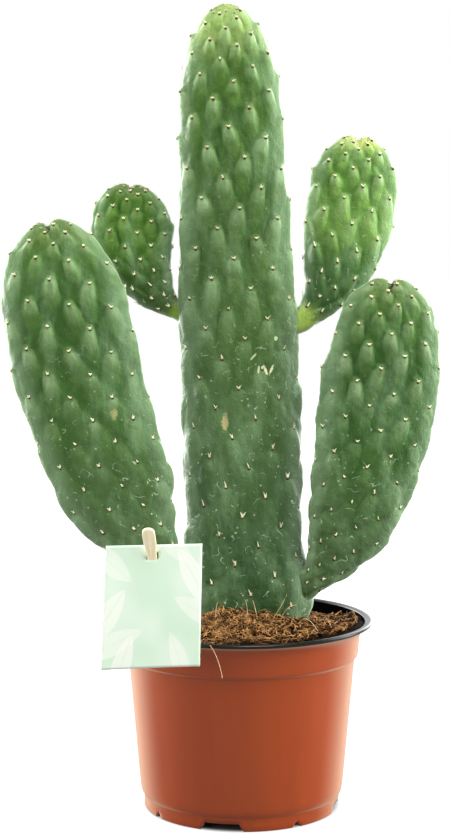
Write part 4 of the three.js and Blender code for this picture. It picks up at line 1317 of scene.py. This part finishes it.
# %% Stake and card materials
# Each leaf: its middle, its turn, its length and width, and its share.
LEAVES = [((0.04, 0.42), 0.9, (0.3, 0.11), 0.6), ((0.1, 0.2), 0.35, (0.34, 0.1), 0.5),
          ((0.2, 0.02), 1.2, (0.3, 0.1), 0.6), ((0.93, 0.72), 2.2, (0.32, 0.11), 0.6),
          ((0.98, 0.45), 2.7, (0.3, 0.09), 0.45), ((0.8, 0.04), 2.0, (0.28, 0.09), 0.5),
          ((0.72, 0.97), 2.6, (0.26, 0.08), 0.4), ((0.06, 0.86), -0.6, (0.28, 0.1), 0.45)]


def wood_material():
    """Birch: a noise drawn out along the stake by the directions stored in its mesh, with a few flecks."""
    material, n, shader = new_material("stake_birch")
    ways = [n.attribute(f"grain_{axis}") for axis in "xyz"]
    lengthwise = n.add("CombineXYZ", s0=ways[0], s1=ways[1], s2=ways[2])[0]
    grain = n.noise(lengthwise, 0.9, 4.0, 0.65)
    fleck = n.span(n.noise(lengthwise, 2.6), 0.6, 0.75, 0.0, 0.35)
    tone = n.mix(n.span(grain, 0.3, 0.7), linear(238, 220, 174), linear(254, 244, 214))
    n.join(shader, Base_Color=n.layers(tone, (fleck, (160, 120, 78))), Roughness=0.62,
           Normal=n.bump(grain, 0.3, 0.0004))
    return material


def card_material():
    """Mint board with pale leaves: each leaf is where one less x squared is more than y, in its own axes."""
    material, n, shader = new_material("label_board")
    where = n.add("UVMap", {"uv_map": "sheet"})[0]
    cloud = n.span(n.noise(where, 2.2, 1.5, 0.4), 0.35, 0.65)
    tone = n.mix(cloud, linear(197, 219, 196), linear(209, 225, 207))
    for centre, turned, size, share in LEAVES:
        local = n.add("Mapping", {"vector_type": "TEXTURE"}, Vector=where, Location=(*centre, 0),
                      Rotation=(0, 0, turned), Scale=(*size, 1))[0]
        parts = n.add("SeparateXYZ", Vector=local)
        side = n.reckon("ABSOLUTE", parts[1])
        room = n.reckon("SUBTRACT", 1.0, n.times(parts[0], parts[0]))
        leaf = n.span(n.reckon("SUBTRACT", room, side), 0.0, 0.12, 0.0, share)
        vein = n.times(leaf, n.span(side, 0.07, 0.02, 0.0, 0.9))
        tone = n.layers(tone, (leaf, (233, 233, 224)), (vein, (206, 217, 198)))
    n.join(shader, Base_Color=tone, Roughness=0.42, Normal=n.bump(n.noise(n.place(), 1800.0), 0.1, 0.0002))
    return material


wear(stake, wood_material())
wear(card, card_material())
print("leaves on the card:", len(LEAVES))

# %% [markdown]
# ## Studio
# The picture is bright and even, white all round. Two large soft lamps at the sides and two weaker ones in
# front give the light, without a reflection of their own. Two tall lamps further back draw pale bands on
# the pot and the wax of the skin, two more behind draw the edges, one above lights the soil, and a wide one
# stands in for the white backdrop. A picture of a studio as the sky would do this too, but lamps can be
# placed one by one. The background and the floor look white to the camera and light the plant only a
# little. Under the pot the floor gives no glow: a painted shadow, seen through the slots in the foot.


# %% Lamps
def soft_light(name, at, aim, size, power):
    """A large rectangular lamp that faces a point."""
    data = bpy.data.lights.new(name, "AREA")
    data.shape, data.size, data.size_y, data.energy = "RECTANGLE", size[0], size[1], power
    lamp = bpy.data.objects.new(name, data)
    lamp.location = at
    lamp.rotation_euler = Vector(np.array(aim) - np.array(at)).to_track_quat("-Z", "Y").to_euler()
    bpy.context.scene.collection.objects.link(lamp)
    return lamp


# Each lamp: its name, its place, the height it aims at, its size, its power, and the view it is kept out of.
LAMPS = [
    ("right", (1.4, -0.35, 0.65), 0.25, (0.5, 1.2), 31.0, "visible_glossy"),
    ("left", (-1.4, -0.25, 0.6), 0.25, (0.5, 1.2), 21.0, "visible_glossy"),
    ("front_right", (1.1, -0.95, 0.75), 0.25, (0.4, 0.9), 9.0, "visible_glossy"),
    ("front_left", (-0.95, -1.05, 0.7), 0.25, (0.4, 0.9), 6.0, "visible_glossy"),
    ("shine_right", (1.35, 0.4, 0.6), 0.25, (0.5, 1.4), 13.0, None),
    ("shine_left", (-1.2, 0.65, 0.5), 0.25, (0.45, 1.3), 31.0, None),
    ("edge_right", (0.75, 1.25, 0.5), 0.25, (0.5, 1.2), 10.0, None),
    ("edge_left", (-0.75, 1.25, 0.5), 0.25, (0.5, 1.2), 10.0, None),
    ("top", (0.25, -0.6, 1.5), 0.3, (0.6, 0.6), 11.0, None),
    ("backdrop", (0.0, 2.6, 1.2), 0.6, (6.0, 4.0), 95.0, "visible_camera"),
]
for name, at, aim_height, size, power, hidden in LAMPS:
    lamp = soft_light(name, at, (0.0, 0.0, aim_height), size, power)
    if hidden:
        setattr(lamp, hidden, False)
print("lamps:", len(LAMPS))

# %% World and floor
SKY_SEEN = 1.0
SKY_LIGHT = 0.3
FLOOR_LIGHT = 0.12
FLOOR_TONE = (0.16, 0.16, 0.16, 1)
world = bpy.data.worlds.new("studio")
bpy.context.scene.world = world
world.use_nodes = True
sky = Nodes(world.node_tree)
sky.tree.nodes.clear()
seen = sky.add("Background", Color=(1, 1, 1, 1), Strength=SKY_SEEN)[0]
lighting = sky.add("Background", Color=(1, 1, 1, 1), Strength=SKY_LIGHT)[0]
chosen = sky.add("MixShader", s0=sky.add("LightPath")["Is Camera Ray"], s1=lighting, s2=seen)[0]
sky.tree.links.new(chosen, sky.tree.nodes.new("ShaderNodeOutputWorld").inputs[0])

bpy.ops.mesh.primitive_plane_add(size=8)
ground = bpy.context.object
ground.name = "studio_floor"
material, n, shader = new_material("studio_white_painted_shadow")
pot_foot = tuple(to_metres((0, 0, 0)))
from_pot = n.add("VectorMath", {"operation": "DISTANCE"}, s0=n.place(), s1=pot_foot)["Value"]
# Painted shadow: the floor gives no glow within about 60 mm of the pot's axis, so it is dark under the pot.
white = n.mix(n.span(from_pot, 0.058, 0.068), (0, 0, 0, 1), (1, 1, 1, 1))
bright = n.add("Mix", s0=n.add("LightPath")["Is Camera Ray"], s2=FLOOR_LIGHT, s3=SKY_SEEN)[0]
n.join(shader, Base_Color=FLOOR_TONE, Roughness=0.7, Emission_Color=white, Emission_Strength=bright)
ground.data.materials.append(material)
bpy.context.scene.view_settings.view_transform = "Standard"
